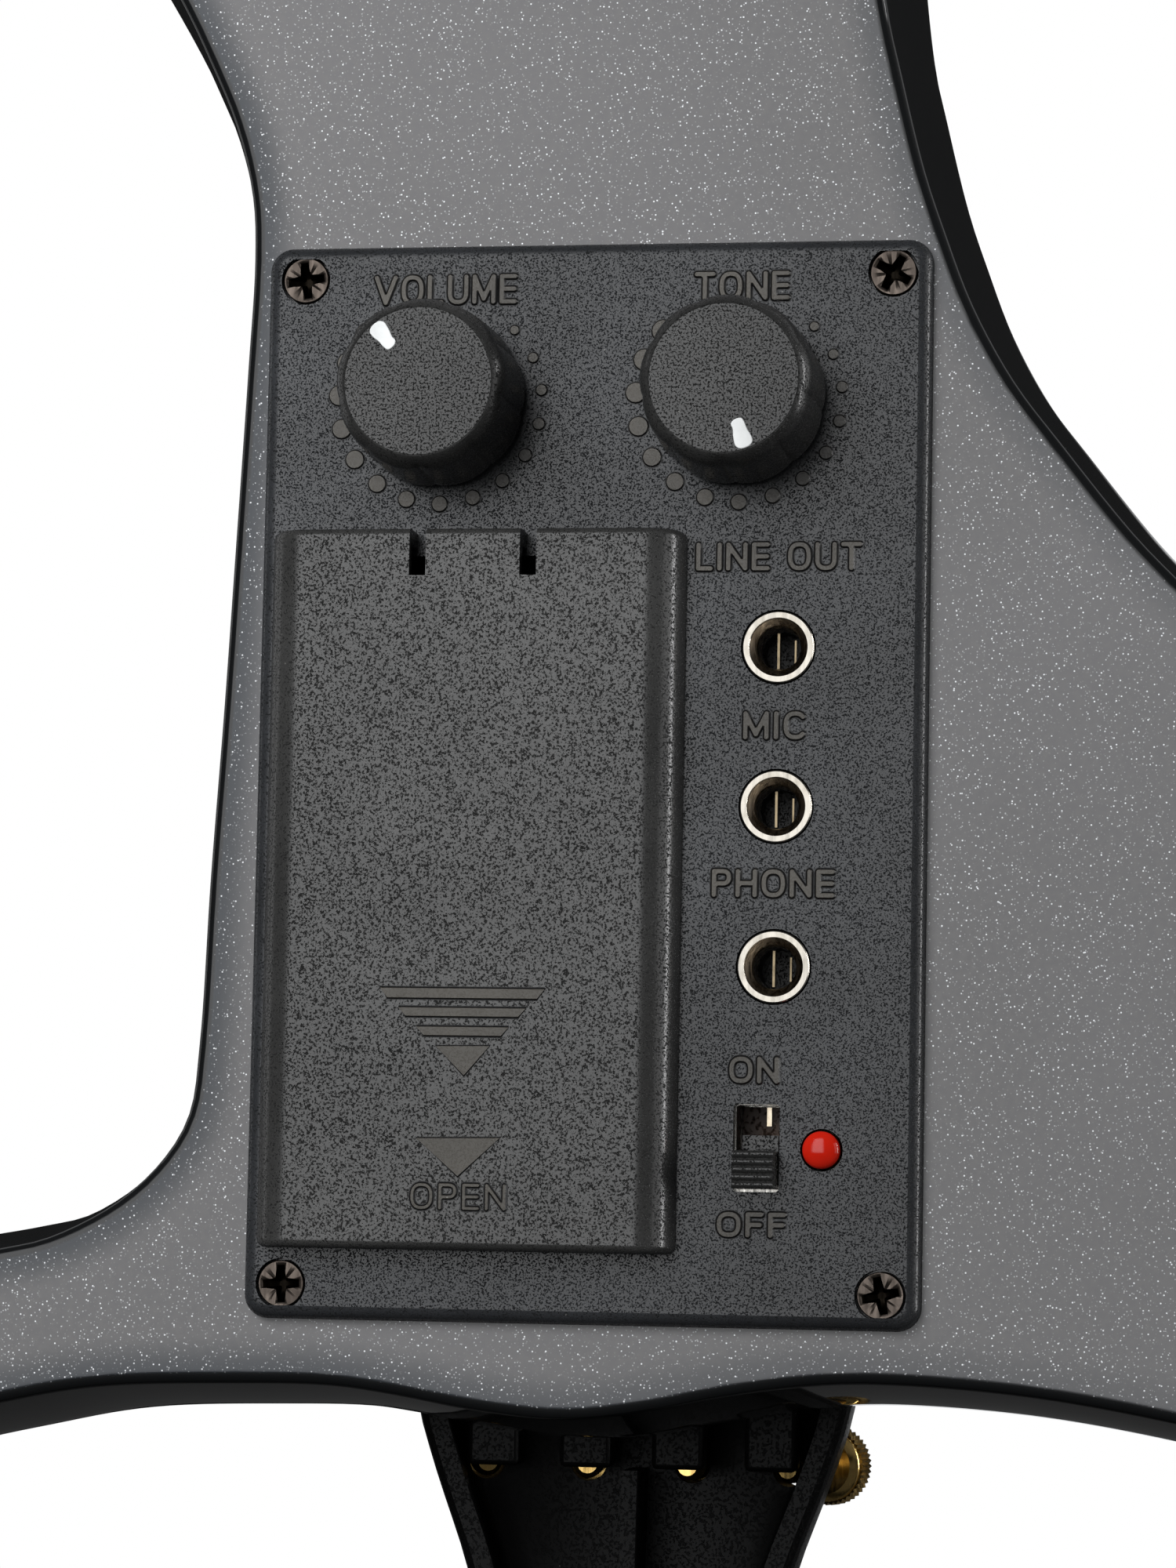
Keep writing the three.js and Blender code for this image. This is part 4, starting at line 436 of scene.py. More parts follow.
def sparkle_pattern(tree, given):
    place = given["Place"]
    # The flakes are drawn as white specks in the base colour: painted glints in place of their reflections.
    bright = node(tree, "TexVoronoi", {"Vector": place, "Scale": 2500.0, "Randomness": 1.0})
    faint = node(tree, "TexVoronoi", {"Vector": place, "Scale": 3600.0, "Randomness": 1.0})
    painted_glint = math_of(tree, "MULTIPLY", ramp(tree, bright.outputs["Distance"], 0.23, 0.1),
                          ramp(tree, bright.outputs["Color"], 0.3, 0.9, 0.1, 1.0))
    faint_painted_glint = math_of(tree, "MULTIPLY", ramp(tree, faint.outputs["Distance"], 0.27, 0.16),
                         ramp(tree, faint.outputs["Color"], 0.3, 0.9, 0.05, 0.38))
    haze = noise(tree, place, 1500.0, Detail=3.0)
    cloud = noise(tree, place, 25.0, Detail=2.0)
    base = blended(tree, ramp(tree, cloud, 0.3, 0.7), (0.112, 0.11, 0.113, 1), (0.13, 0.128, 0.133, 1))
    base = blended(tree, ramp(tree, haze, 0.3, 0.75, 0.0, 0.35), base, (0.16, 0.157, 0.153, 1))
    # Toward every edge the lacquer goes to slate, partly its burst and partly painted shade; full strength on the
    # left and three tenths on the right, as painted shade.
    side = node(tree, "SeparateXYZ", {0: place})
    reach = ramp(tree, side.outputs["X"], -0.03, 0.07, 1.0, 0.3)
    edge = math_of(tree, "MULTIPLY", ramp(tree, given["Edge"], 0.2, 3.6, 0.9, 0.0), reach)
    base = blended(tree, edge, base, (0.028, 0.034, 0.042, 1))
    base = blended(tree, math_of(tree, "MAXIMUM", painted_glint, faint_painted_glint), base, (0.9, 0.92, 0.95, 1))
    base = blended(tree, ramp(tree, given["Edge"], 0.05, 0.35), (0.004, 0.0045, 0.005, 1), base)
    wave = noise(tree, place, 60.0, Detail=1.0)
    rough = ramp(tree, haze, 0.2, 0.8, 0.42, 0.52)
    return base, rough, wave


lacquer = finish("sparkle_lacquer", pattern_group("sparkle_flakes", sparkle_pattern, Edge=0.0), "Edge",
                 Specular_IOR_Level=0.1, Coat_Roughness=0.04, relief=0.00004)
layers = lacquer.node_tree
depth_in = node(layers, "Attribute", attribute_name="tint").outputs["Fac"]
clear_coat = node(layers, "MapRange", {"Value": depth_in, "From Min": 0.05, "From Max": 0.35, "To Min": 1.0,
                                       "To Max": 0.7})
layers.links.new(clear_coat.outputs[0], layers.nodes["Principled BSDF"].inputs["Coat Weight"])
show("body_shell", body, lacquer, "sparkle_lacquer", "body")


# Control panel: a moulded plate of fine-grained black ABS with the battery's well behind it, its edges
# rounded and its words and dial dots raised in the mould. Four screws hold it in its place in the back.
def moulded_pattern(tree, given):
    place = given["Place"]
    grain = noise(tree, place, given["Grain"], Detail=3.0, Roughness=0.6)
    patch = noise(tree, place, 75.0, Detail=5.0, Roughness=0.6)
    drift = noise(tree, place, 22.0, Detail=1.0)
    dust = node(tree, "TexVoronoi", {"Vector": place, "Scale": 420.0})
    worn = ramp(tree, patch, 0.32, 0.68, 0.78, 1.24)
    worn = math_of(tree, "MULTIPLY", worn, ramp(tree, drift, 0.3, 0.7, 0.88, 1.12))
    level_part = math_of(tree, "MAXIMUM", ramp(tree, grain, 0.36, 0.48), given["Flat"])
    fine = ramp(tree, level_part, 0.0, 1.0, given["Low"], given["High"])
    tone = node(tree, "VectorMath", {0: given["Colour"], "Scale": worn}, operation="SCALE").outputs[0]
    tone = blended(tree, 1.0, tone, fine, "MULTIPLY")
    tone = blended(tree, ramp(tree, dust.outputs["Distance"], 0.035, 0.015, 0.0, 0.5), tone, (0.3, 0.3, 0.28, 1))
    # The tint paints the sides of raised marks and a thin ring round their foot near black: painted shade.
    tone = blended(tree, ramp(tree, given["Wall"], 0.02, 0.35), tone, (0.003, 0.003, 0.0035, 1))
    rough = ramp(tree, level_part, 0.0, 1.0, 0.85, given["Roughness"])
    return tone, rough, level_part


moulded = pattern_group("moulded_grain", moulded_pattern, Colour=(0.05, 0.055, 0.06), Grain=6500.0, Low=0.5, High=1.5,
                        Flat=0.0, Roughness=0.42, Wall=0.0)
panel_plastic = finish("panel_plastic", moulded, Colour=(0.019, 0.0203, 0.0225), Grain=6500.0, Low=0.3, High=1.2,
                       Roughness=0.27, relief=0.000018, Specular_IOR_Level=0.58)
mark_plastic = finish("mark_plastic", moulded, "Wall", Colour=(0.05, 0.045, 0.037), Low=0.9, High=1.08, Flat=0.7,
                      relief=0.00001, Specular_IOR_Level=0.8)
face_y, plate_y = -1.5, -0.02


def rounded_rect(x, z, width, height, radius, steps=8):
    reach, climb = width / 2 - radius, height / 2 - radius
    return [Vector((x + sx * reach + radius * cos_deg(a), z + sz * climb + radius * sin_deg(a)))
            for turn, (sx, sz) in enumerate(quarters) for a in (90 * turn + 90 * k / steps for k in range(steps + 1))]


def circle(x, z, radius, count=40):
    return [Vector((x + radius * math.cos(math.tau * k / count), z + radius * math.sin(math.tau * k / count)))
            for k in range(count)]


def flat(loop, y):
    return [(p.x, y, p.y) for p in loop]


knob_centres = {side: (panel_x - 0.47 + sign * 12.675, panel_z + 31.76)
                for side, sign in (("volume", -1), ("tone", 1))}
screw_places = {"top_left": (-25, 42.35, 8), "top_right": (25, 42.35, -30), "bottom_left": (-25, -42.35, 2),
                "bottom_right": (25, -42.35, 12)}
sleeve_x, sleeve_zs = panel_x + 15.85, {"line_out": panel_z + 10.9, "mic": panel_z - 2.36, "phone": panel_z - 15.62}
slot_x, slot_z = panel_x + 14.64, panel_z - 30.5
lamp_x, lamp_z = panel_x + 20.04, panel_z - 30.6
well, well_depth, well_wall = (-7.8, -11.55, 27.6, 53.4), 19.4, 1.4
holes = [circle(panel_x + x, panel_z + z, 2.12) for x, z, _ in screw_places.values()]
holes += [circle(x, z, 3.4) for x, z in knob_centres.values()]
holes += [circle(sleeve_x, z, 3.14, 56) for z in sleeve_zs.values()]
holes += [circle(lamp_x, lamp_z, 1.75), rounded_rect(slot_x, slot_z, 3.84, 7.2, 0.35, 4),
          rounded_rect(*well, 0.5, 4)]
panel = Shape()
panel_loop = rounded_rect(panel_x, panel_z, panel_width, panel_height, 2.0)
edge = 1.1
panel_edge = [(0.0, plate_y), (0.0, face_y + edge)] + [
    (edge - edge * cos_deg(a), face_y + edge - edge * sin_deg(a)) for a in (18, 36, 54, 72, 90)]
panel.loft([flat(grown(panel_loop, -inset), y) for inset, y in panel_edge], ends=False)
for inset, y in (panel_edge[0], panel_edge[-1]):
    panel.fill([grown(panel_loop, -inset), *holes], lambda u, v: (u, y, v))
for hole in holes:
    panel.loft([flat(hole, y) for y in (face_y, plate_y)], ends=False)
well_inside = rounded_rect(*well, 0.5)
well_outside = rounded_rect(*well[:2], *(side + 2 * well_wall for side in well[2:]), 1)
panel.loft([flat(loop, y) for loop, y in ((well_inside, well_depth), (well_inside, 0.0), (well_outside, 0.0),
                                          (well_outside, well_depth + well_wall))])
show("control_plate", panel, panel_plastic, "panel_plastic", "control_panel", sharp=50)


def arc(x, z, rx, rz, start, end, steps):
    angles = [math.radians(start + (end - start) * k / steps) for k in range(steps + 1)]
    return [(x + rx * math.copysign(abs(math.cos(a)) ** 0.8, math.cos(a)),
             z + rz * math.copysign(abs(math.sin(a)) ** 0.8, math.sin(a))) for a in angles]


letters = {
    "V": (0.95, [[(0, 1), (0.5, 0), (1, 1)]]),
    "O": (0.9, [arc(0.5, 0.5, 0.5, 0.5, 0, 360, 24)]),
    "L": (0.6, [[(0, 1), (0, 0), (1, 0)]]),
    "U": (0.82, [[(0, 1), *arc(0.5, 0.38, 0.5, 0.38, 180, 360, 12), (1, 1)]]),
    "M": (0.95, [[(0, 0), (0, 1), (0.5, 0.12), (1, 1), (1, 0)]]),
    "E": (0.66, [[(1, 1), (0, 1), (0, 0), (1, 0)], [(0, 0.5), (0.95, 0.5)]]),
    "T": (0.8, [[(0, 1), (1, 1)], [(0.5, 1), (0.5, 0)]]),
    "N": (0.82, [[(0, 0), (0, 1), (1, 0), (1, 1)]]),
    "I": (0.02, [[(0.5, 0), (0.5, 1)]]),
    "P": (0.7, [[(0, 0), (0, 1), *arc(0.55, 0.74, 0.45, 0.26, 90, -90, 10), (0, 0.48)]]),
    "H": (0.8, [[(0, 0), (0, 1)], [(1, 0), (1, 1)], [(0, 0.5), (1, 0.5)]]),
    "C": (0.86, [arc(0.5, 0.5, 0.5, 0.5, 42, 318, 18)]),
    "F": (0.62, [[(1, 1), (0, 1), (0, 0)], [(0, 0.5), (0.9, 0.5)]]),
}


def word(text, x0, x1, z1, z0, stroke):
    """The strokes of a word that fills a box, each letter a list of lines in millimetres."""
    gap = 0.42
    x0, x1, z0, z1 = x0 + stroke / 2, x1 - stroke / 2, z0 + stroke / 2, z1 - stroke / 2
    widths = [letters[c][0] if c != " " else 0.25 for c in text]
    unit = (x1 - x0) / (sum(widths) + gap * (len(text) - 1))
    made, x = [], x0
    for c, width in zip(text, widths):
        if c != " ":
            made.append([[(x + u * width * unit, z0 + v * (z1 - z0)) for u, v in line] for line in letters[c][1]])
        x += (width + gap) * unit
    return made


def stadium(a, b, radius):
    """A loop round a line, with a half circle of nine points at each end."""
    along = math.atan2(b[1] - a[1], b[0] - a[0]) if a != b else 0.0
    return [Vector((end[0] + radius * math.cos(t), end[1] + radius * math.sin(t)))
            for end, start in ((b, -90), (a, 90)) for t in (along + math.radians(start + 22.5 * k) for k in range(9))]


def far_from(p, a, b):
    a, b = Vector(a), Vector(b)
    share = 0.0 if a == b else max(0.0, min(1.0, (p - a).dot(b - a) / (b - a).length_squared))
    return (p - a - (b - a) * share).length


def raised(shape, glyph, radius, y, height=0.18, foot=0.16):
    """Flat-topped ridges with sloping sides along the lines of one letter or dot. Their sides and a thin flat ring
    round each foot are tinted toward black: painted shade.
    """
    pairs = [(a, b) for line in glyph for a, b in (zip(line, line[1:]) if len(line) > 1 else [(line[0], line[0])])]
    corners, outlines = [], []
    for a, b in pairs:
        for reach in (radius, radius + foot, radius + foot + 0.07):
            loop = stadium(a, b, reach)
            outlines.append(list(range(len(corners), len(corners) + len(loop))))
            corners += loop
    spread, _, faces, _, _, inside = delaunay_2d_cdt(corners, [], outlines, 1, 1e-4)
    faces = [face for face, owners in zip(faces, inside) if owners]
    lift = [max(0.0, min(1.0, (radius + foot - min(far_from(p, a, b) for a, b in pairs)) / foot)) for p in spread]
    first = len(shape.points)
    shape.points += [(p.x, y - 0.012 - height * h, p.y) for p, h in zip(spread, lift)]
    shape.points += [(p.x, y + 0.1, p.y) for p in spread]
    shape.tints += [1.0 - h for h in lift] + [1.0] * len(spread)
    sides, under = {}, first + len(spread)
    for face in faces:
        shape.faces.append(tuple(first + i for i in face))
        shape.faces.append(tuple(under + i for i in reversed(face)))
        for a, b in zip(face, face[1:] + face[:1]):
            sides[frozenset((a, b))] = None if frozenset((a, b)) in sides else (a, b)
    for a, b in (pair for pair in sides.values() if pair):
        shape.faces.append((first + a, first + b, under + b, under + a))


panel_marks = Shape()
for text, x0, x1, z1, z0 in (("VOLUME", -19.04, -6.71, 42.64, 40.04), ("TONE", 8.3, 16.4, 42.57, 40.07),
                             ("LINE OUT", 8.83, 22.75, 19.69, 17.26), ("MIC", 13.0, 18.39, 5.57, 3.16),
                             ("PHONE", 10.6, 20.86, -7.54, -9.93), ("ON", 12.3, 16.48, -22.99, -25.25),
                             ("OFF", 11.47, 17.26, -35.72, -37.85)):
    for glyph in word(text, panel_x + x0, panel_x + x1, panel_z + z1, panel_z + z0, 0.44):
        raised(panel_marks, glyph, 0.16, face_y)
for x, z in knob_centres.values():
    for k in range(15):
        angle = math.radians(46 + 19 * k)
        spot = (x + 8.7 * math.sin(angle), z + 8.7 * math.cos(angle))
        raised(panel_marks, [[spot]], 0.35 + 0.54 * k / 14, face_y, foot=0.12)
show("panel_marks", panel_marks, mark_plastic, "panel_plastic", sharp=20)


# Battery cover: a sliding lid of the same plastic, long sides well rounded, ends bevelled, with two notches
# that free a finger at its top. A word and an arrow of raised bars show which way it slides.
def block(x0, x1, y0, y1, z0, z1, shape=None):
    """A plain block, as a shape of its own or added to one."""
    return (shape or Shape()).loft([[(x0, y, z0), (x1, y, z0), (x1, y, z1), (x0, y, z1)] for y in (y0, y1)])


cover_x, cover_z, cover_half, cover_long = -8.4, -12.9, 17.55, 29.95
cover_top = face_y - 3.4


def cover_section(z, inset):
    radius, half = 3.2 - inset, cover_half - inset
    side = [(half - radius + radius * cos_deg(a), cover_top + inset + radius - radius * sin_deg(a))
            for a in range(0, 91, 10)]
    return [(cover_x + x, y, z) for x, y in [(half, face_y - 0.05), *side]] + \
        [(cover_x - x, y, z) for x, y in [*reversed(side), (half, face_y - 0.05)]]


stations = [(-cover_long + 0.7 - 0.7 * cos_deg(a), 0.7 - 0.7 * sin_deg(a)) for a in (0, 22, 45, 67, 90)]
cover = Shape().loft([cover_section(cover_z + side * z, inset)
                      for side, row in ((1, stations), (-1, stations[::-1])) for z, inset in row])
hollow = block(cover_x - cover_half + 2, cover_x + cover_half - 2, cover_top + 1.3, 1, cover_z - cover_long + 1.4,
               cover_z + cover_long - 1.4)
notches = [block(middle - 0.7, middle + 0.7, cover_top - 1, 1, cover_z + cover_long - 4, cover_z + cover_long + 1)
           for middle in (cover_x - 4.675, cover_x + 4.675)]
cover_plastic = finish("cover_plastic", moulded, Colour=(0.026, 0.026, 0.0255), Roughness=0.25, Grain=5800.0, Low=0.3,
                       High=1.2, relief=0.000026, Specular_IOR_Level=0.7)
show("sliding_cover", cover, cover_plastic, "panel_plastic", "battery_cover", body="battery_cover", sharp=50,
     cuts=[hollow, *notches])
cover_marks = Shape()
for glyph in word("OPEN", panel_x - 13.5, panel_x - 5.47, panel_z - 33.83, panel_z - 36.06, 0.34):
    raised(cover_marks, glyph, 0.1, cover_top, 0.14, 0.14)


def plateau(shape, corners, y):
    """A raised flat patch with sloping sides. Its sides and a thin flat ring round its foot are tinted black: painted
    shade.
    """
    height, foot = 0.14, 0.13
    loop = anticlockwise([Vector((panel_x + u, panel_z + v)) for u, v in corners])
    wide, outline = grown(loop, foot), grown(loop, foot + 0.07)
    shape.skin([shape.level(line, y + down, tint) for line, down, tint in (
        (outline, 0.1, 1.0), (outline, -0.012, 1.0), (wide, -0.013, 1.0), (loop, -height, 0.0))])


for left, right_end, top, bottom in ((-16.39, -2.63, -17.87, -18.63), (-14.83, -4.17, -19.47, -20.13),
                                     (-13.28, -5.58, -21.04, -21.71)):
    plateau(cover_marks, [(left, top), (right_end, top), (right_end - 0.6, bottom), (left + 0.6, bottom)], cover_top)
plateau(cover_marks, [(-11.59, -22.63), (-7.13, -22.58), (-9.22, -24.99)], cover_top)
plateau(cover_marks, [(-13.06, -30.22), (-6.12, -30.11), (-9.55, -33.25)], cover_top)
show("cover_marks", cover_marks, mark_plastic, "panel_plastic", body="battery_cover", sharp=20)


# Panel screws: four countersunk cross-head screws in dark bronze plate, one through each corner of the panel.
# They are turned, and each cross is cut in with two crossed slots that narrow toward their bottom; the slots are
# painted near black, painted shade.
def along_y(x, z):
    """Where a turned shape's points go when its axis runs along Y."""
    return lambda u, v, h: (x + u, h, z + v)


def along_x(y, z, way=1):
    return lambda u, v, h: (way * h, y + u, z + v)


def turned(profile, place, segments=64, swell=None, bored=False, shape=None):
    """A profile of radius and height pairs turned about its axis, closed at both ends or bored through."""
    rows = []
    for index, (radius, height) in enumerate(profile):
        angles = [math.tau * k / segments for k in range(segments)]
        reach = [radius * (swell(a, index) if swell else 1.0) for a in angles]
        rows.append([place(r * math.sin(a), r * math.cos(a), height) for a, r in zip(angles, reach)])
    made = (shape or Shape()).loft(rows, ends=not bored)
    if bored:
        made.band(list(range(segments)), list(range(len(made.points) - segments, len(made.points))))
    return made


def metal_pattern(tree, given):
    place = given["Place"]
    drawn = node(tree, "Mapping", {"Vector": place, "Scale": (1, 1, 0.12)}).outputs[0]
    scratch = noise(tree, drawn, given["Scratches"], Detail=3.0)
    spot = noise(tree, place, 900.0, Detail=4.0)
    tone = blended(tree, ramp(tree, spot, 0.42, 0.7, 0.0, 0.6), given["Colour"], given["Dull"])
    depth = node(tree, "SeparateXYZ", {0: place}).outputs["Y"]
    # Below the given depth the colour turns near black: painted shade in recesses, here the cross slots of the
    # screws.
    tone = blended(tree, math_of(tree, "GREATER_THAN", depth, given["Deep"]), tone, (0.01, 0.008, 0.006, 1))
    rough = ramp(tree, scratch, 0.25, 0.75, given["Smooth"], given["Rough"])
    return tone, rough, scratch


metal = pattern_group("plated_metal", metal_pattern, Colour=(0.8, 0.77, 0.7), Dull=(0.4, 0.36, 0.3), Smooth=0.12,
                      Rough=0.32, Scratches=2500.0, Deep=1.0)
bronze = finish("bronze_plate", metal, Colour=(0.17, 0.14, 0.12), Dull=(0.12, 0.1, 0.085), Smooth=0.3, Rough=0.55,
                Deep=-0.00128, Metallic=1.0, relief=0.00002)
for name, (x, z, twist) in screw_places.items():
    about = along_y(panel_x + x, panel_z + z)
    head = turned([(0, 10.5), (0.35, 10.2), (1.05, 7.5), (1.05, 0.4), (1.95, -0.45), (1.95, -1.2), (1.92, -1.31),
                   (1.86, -1.35), (0, -1.35)], about, 48)
    arms = []
    for a in (math.radians(twist), math.radians(twist + 90)):
        arms.append(Shape().loft([[about(u * math.cos(a) - v * math.sin(a), u * math.sin(a) + v * math.cos(a), y)
                                   for u, v in ((long, -wide * 0.8), (long, wide * 0.8), (0, wide * 1.25),
                                                (-long, wide * 0.8), (-long, -wide * 0.8), (0, -wide * 1.25))]
                                  for y, long, wide in ((-1.6, 1.6, 0.42), (-1.35, 1.57, 0.41), (-0.75, 1.35, 0.34),
                                                        (-0.15, 0.4, 0.2))]))
    show("cross_screw_" + name, head, bronze, "bronze_screws", "panel_screw_" + name, cuts=arms)


# Knobs: two moulded black knobs with a fluted skirt, a rounded shoulder and a flat grained face,
# pushed on their shafts. A white pointer is let into each face.
knob_plastic = finish("knob_plastic", moulded, Colour=(0.018, 0.018, 0.0177), Grain=5600.0, Low=0.3, High=1.2,
                      Roughness=0.25, relief=0.000026, Specular_IOR_Level=0.6)
inlay = finish("white_inlay", moulded, Colour=(0.8, 0.82, 0.82), Grain=3000.0, Low=0.97, High=1.02, Flat=0.8,
               relief=0.00001)
knob_face = -11.25
knob_profile = [(0, -8.6), (5.6, -8.6), (5.9, -2.3), (7.15, -2.3), (7.4, -2.5), (7.45, -3.2), (7.38, -5.0),
                (7.3, -7.2), (7.22, -8.9), (7.17, -9.7), (7.06, -10.2), (6.85, -10.62), (6.6, -10.95), (6.38, -11.16),
                (6.26, -11.23), (6.18, -11.2), (6.1, -11.24), (3, knob_face + 0.01), (0, knob_face + 0.03)]
flute_depths = [0, 0, 0, 0.03, 0.034, 0.034, 0.034, 0.034, 0.034, 0.034, 0.03, 0.022, 0.012, 0.004, 0, 0, 0, 0, 0]
pointer_outline = [(-.42, 1.22), (.4, 1.24), (.7, .92), (.66, .1), (.52, -.5), (.54, -.95), (.2, -1.2), (-.4, -1.15),
                   (-.54, -.75), (-.6, -.1), (-.74, .45), (-.72, .95)]


def fluted(angle, index):
    return 1 - flute_depths[index] * (1 - abs(math.sin(4.5 * (angle - 0.35))) ** 0.5)


for side, degrees in (("volume", 322), ("tone", 162)):
    x, z = knob_centres[side]
    knob = turned(knob_profile, along_y(x, z), 180, fluted)
    show(side + "_dial", knob, knob_plastic, "knob_plastic", side + "_knob", body=side + "_control", sharp=30)
    a = math.radians(degrees)
    spots = [Vector((x + u * math.cos(a) + (4.8 + v) * math.sin(a), z - u * math.sin(a) + (4.8 + v) * math.cos(a)))
             for u, v in closed_curve(pointer_outline, 0.12)]
    pointer = Shape().loft([flat(grown(anticlockwise(spots), out), knob_face + down)
                            for out, down in ((0, 0.4), (0, -0.01), (-0.05, -0.05))])
    show(side + "_mark", pointer, inlay, "white_inlay", side + "_pointer", body=side + "_control")


# Sockets: three nickel-plated sleeves in the panel, turned with fine grooves down their mouths,
# with spring contacts and a black housing behind each.
nickel = finish("bright_nickel", metal, Colour=(0.47, 0.44, 0.39), Dull=(0.34, 0.31, 0.26), Smooth=0.12, Rough=0.3,
                Metallic=1.0, relief=0.000015)
# The bore's nickel is tinted brown: a painted reflection.
reflection_brown_nickel = finish("bore_nickel", metal, Colour=(0.56, 0.49, 0.4), Dull=(0.3, 0.25, 0.19), Smooth=0.2, Rough=0.35,
                      Metallic=1.0, relief=0.00002)
# The contacts' gold is darkened to the shade deep in the sleeves: painted shade.
contact_gold = finish("contact_gold", metal, Colour=(0.24, 0.19, 0.12), Dull=(0.1, 0.08, 0.05), Metallic=1.0)
for name, z in sleeve_zs.items():
    about = along_y(sleeve_x, z)
    ring = turned([(2.4, -0.3), (2.4, -1.58), (2.46, -1.65), (2.9, -1.65), (3.0, -1.55), (3.0, 2.4), (2.42, 2.4)],
                  about, 72, bored=True)
    grooves = [(2.4 - 0.062 * k + (0.035 if k % 2 else 0), -1.5 + 0.075 * k) for k in range(10)]
    bore = turned([(2.415, -1.5), *grooves, (1.8, -0.7), (1.8, 2.4), (2.415, 2.4)], about, 72, bored=True)
    blades = block(sleeve_x - 0.4, sleeve_x - 0.2, 1.2, 2.3, z - 1.5, z + 1.5)
    block(sleeve_x + 0.95, sleeve_x + 1.1, 2.0, 2.3, z - 1.0, z + 1.0, blades)
    show(name + "_ring", ring, nickel, "nickel", name + "_sleeve")
    show(name + "_bore", bore, reflection_brown_nickel, "nickel")
    show(name + "_contacts", blades, contact_gold, "nickel")


# Slide switch and lamp: a ridged slider of moulded black plastic that runs in a slot, with its frame behind the
# panel, and beside it a red lamp whose clear plastic lens is pushed into its hole.
red_lens = finish("red_lens", moulded, Colour=(0.42, 0.01, 0.003), Grain=300.0, Low=0.85, High=1.15, Flat=1.0,
                  Roughness=0.06, Specular_IOR_Level=0.5, relief=0.000002)
slider_x, slider_z = slot_x, slot_z - 3.6 + 0.4 + 1.45
rows = [(slider_z - 1.6 + 3.1 * v, face_y - 2.3 - 0.16 * abs(math.sin(v * 5 * math.pi)))
        for v in (k / 40 for k in range(41))]
rows = [(rows[0][0], 1.4)] + rows + [(rows[-1][0], 1.4)]
slider = Shape().loft([[(slider_x + u, y, z) for z, y in rows] for u in (-1.7, 1.7)])
block(slider_x - 1.5, slider_x + 1.5, 1.2, 2.6, slider_z - 1.45, slider_z + 2.85, slider)
show("ridged_slider", slider, knob_plastic, "knob_plastic", "switch_slider", body="switch_slider", sharp=40)
dome = [(1.55 * cos_deg(a), -1.9 - 0.7 * sin_deg(a)) for a in range(15, 91, 15)]
lamp = turned([(0, 3.2), (1.55, 3.2), (1.55, -1.9), *dome], along_y(lamp_x, lamp_z), 48)
show("lamp_lens", lamp, red_lens, "red_lens", "power_led")


# Switch frame: a tinned steel tray behind the slot, open to it, with a brown board at its bottom and a strip of
# brass contact that shows above the slider. It is pressed from sheet and lies on the back of the panel.
tin = finish("tin_plate", metal, Colour=(0.62, 0.6, 0.56), Dull=(0.4, 0.37, 0.32), Rough=0.4, Metallic=1.0,
             relief=0.00001)
brass = finish("brass_strip", metal, Colour=(0.6, 0.52, 0.4), Dull=(0.4, 0.3, 0.18), Metallic=1.0)
phenolic = finish("brown_board", moulded, Colour=(0.035, 0.018, 0.01), Grain=2500.0, Roughness=0.5)
tray_rim = rounded_rect(slot_x, slot_z, 6, 11, 0.4, 4)
tray_mouth = rounded_rect(slot_x, slot_z + 0.2, 3.7, 6.7, 0.3, 4)
switch_tray = Shape().loft([flat(loop, y) for loop, y in ((tray_rim, 4.4), (tray_rim, 0.02), (tray_mouth, 0.02),
                                                          (tray_mouth, 3.6))])
switch_board = block(slot_x - 1.8, slot_x + 1.8, 3.1, 3.55, slot_z - 3.1, slot_z + 3.5)
switch_strip = block(slot_x + 0.35, slot_x + 0.75, 2.75, 3.08, slot_z + 1.9, slot_z + 3.45)
show("switch_tray", switch_tray, tin, "nickel", "power_switch")
show("switch_board", switch_board, phenolic, "circuit_laminate")
show("switch_strip", switch_strip, brass, "gold")


# Inside parts: the battery, its snap and lead, the board, two controls, three jacks and the pickup's lead,
# all behind the panel. Their plain solids stay, and each gets a finish of its own.
def dress(material, *names):
    for name in names:
        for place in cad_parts[name].material_slots:
            place.material = material


plated_steel = finish("plated_steel", metal, Colour=(0.6, 0.6, 0.6), Dull=(0.42, 0.41, 0.4), Metallic=1.0)
dress(plated_steel, "volume_pot", "tone_pot", "volume_shaft", "tone_shaft")
dress(finish("battery_paint", moulded, Colour=(0.02, 0.03, 0.06), Grain=900.0, Low=0.9, High=1.1, Roughness=0.25),
      "battery")
dress(finish("snap_leather", moulded, Colour=(0.02, 0.02, 0.02), Grain=1500.0), "battery_snap")
dress(finish("lead_rubber", moulded, Colour=(0.2, 0.01, 0.01), Roughness=0.35), "battery_lead")
dress(finish("lead_jacket", moulded, Colour=(0.015, 0.015, 0.015), Roughness=0.35), "pickup_lead")
dress(finish("green_laminate", moulded, Colour=(0.01, 0.09, 0.035), Grain=1800.0, Roughness=0.3), "circuit_board")
dress(finish("jack_black", moulded, Colour=(0.012, 0.012, 0.012)), "line_out_jack", "mic_jack", "phone_jack")


# Tailpiece: a moulded black composite shell, open at the back, with a rib down its middle and four notches at
# its wide end for the levers. It is held by the tail gut and made by moulding.
def at_share(run, runs, values, soften):
    """A value read off a table along a run, its corners softened."""
    def read(t):
        t = min(max(t, runs[0]), runs[-1])
        k = max(i for i in range(len(runs) - 1) if runs[i] <= t)
        return values[k] + (values[k + 1] - values[k]) * (t - runs[k]) / (runs[k + 1] - runs[k])
    return (read(run - soften) + 2 * read(run) + read(run + soften)) / 4


def rise(half, bend):
    return bend - math.sqrt(bend * bend - half * half)


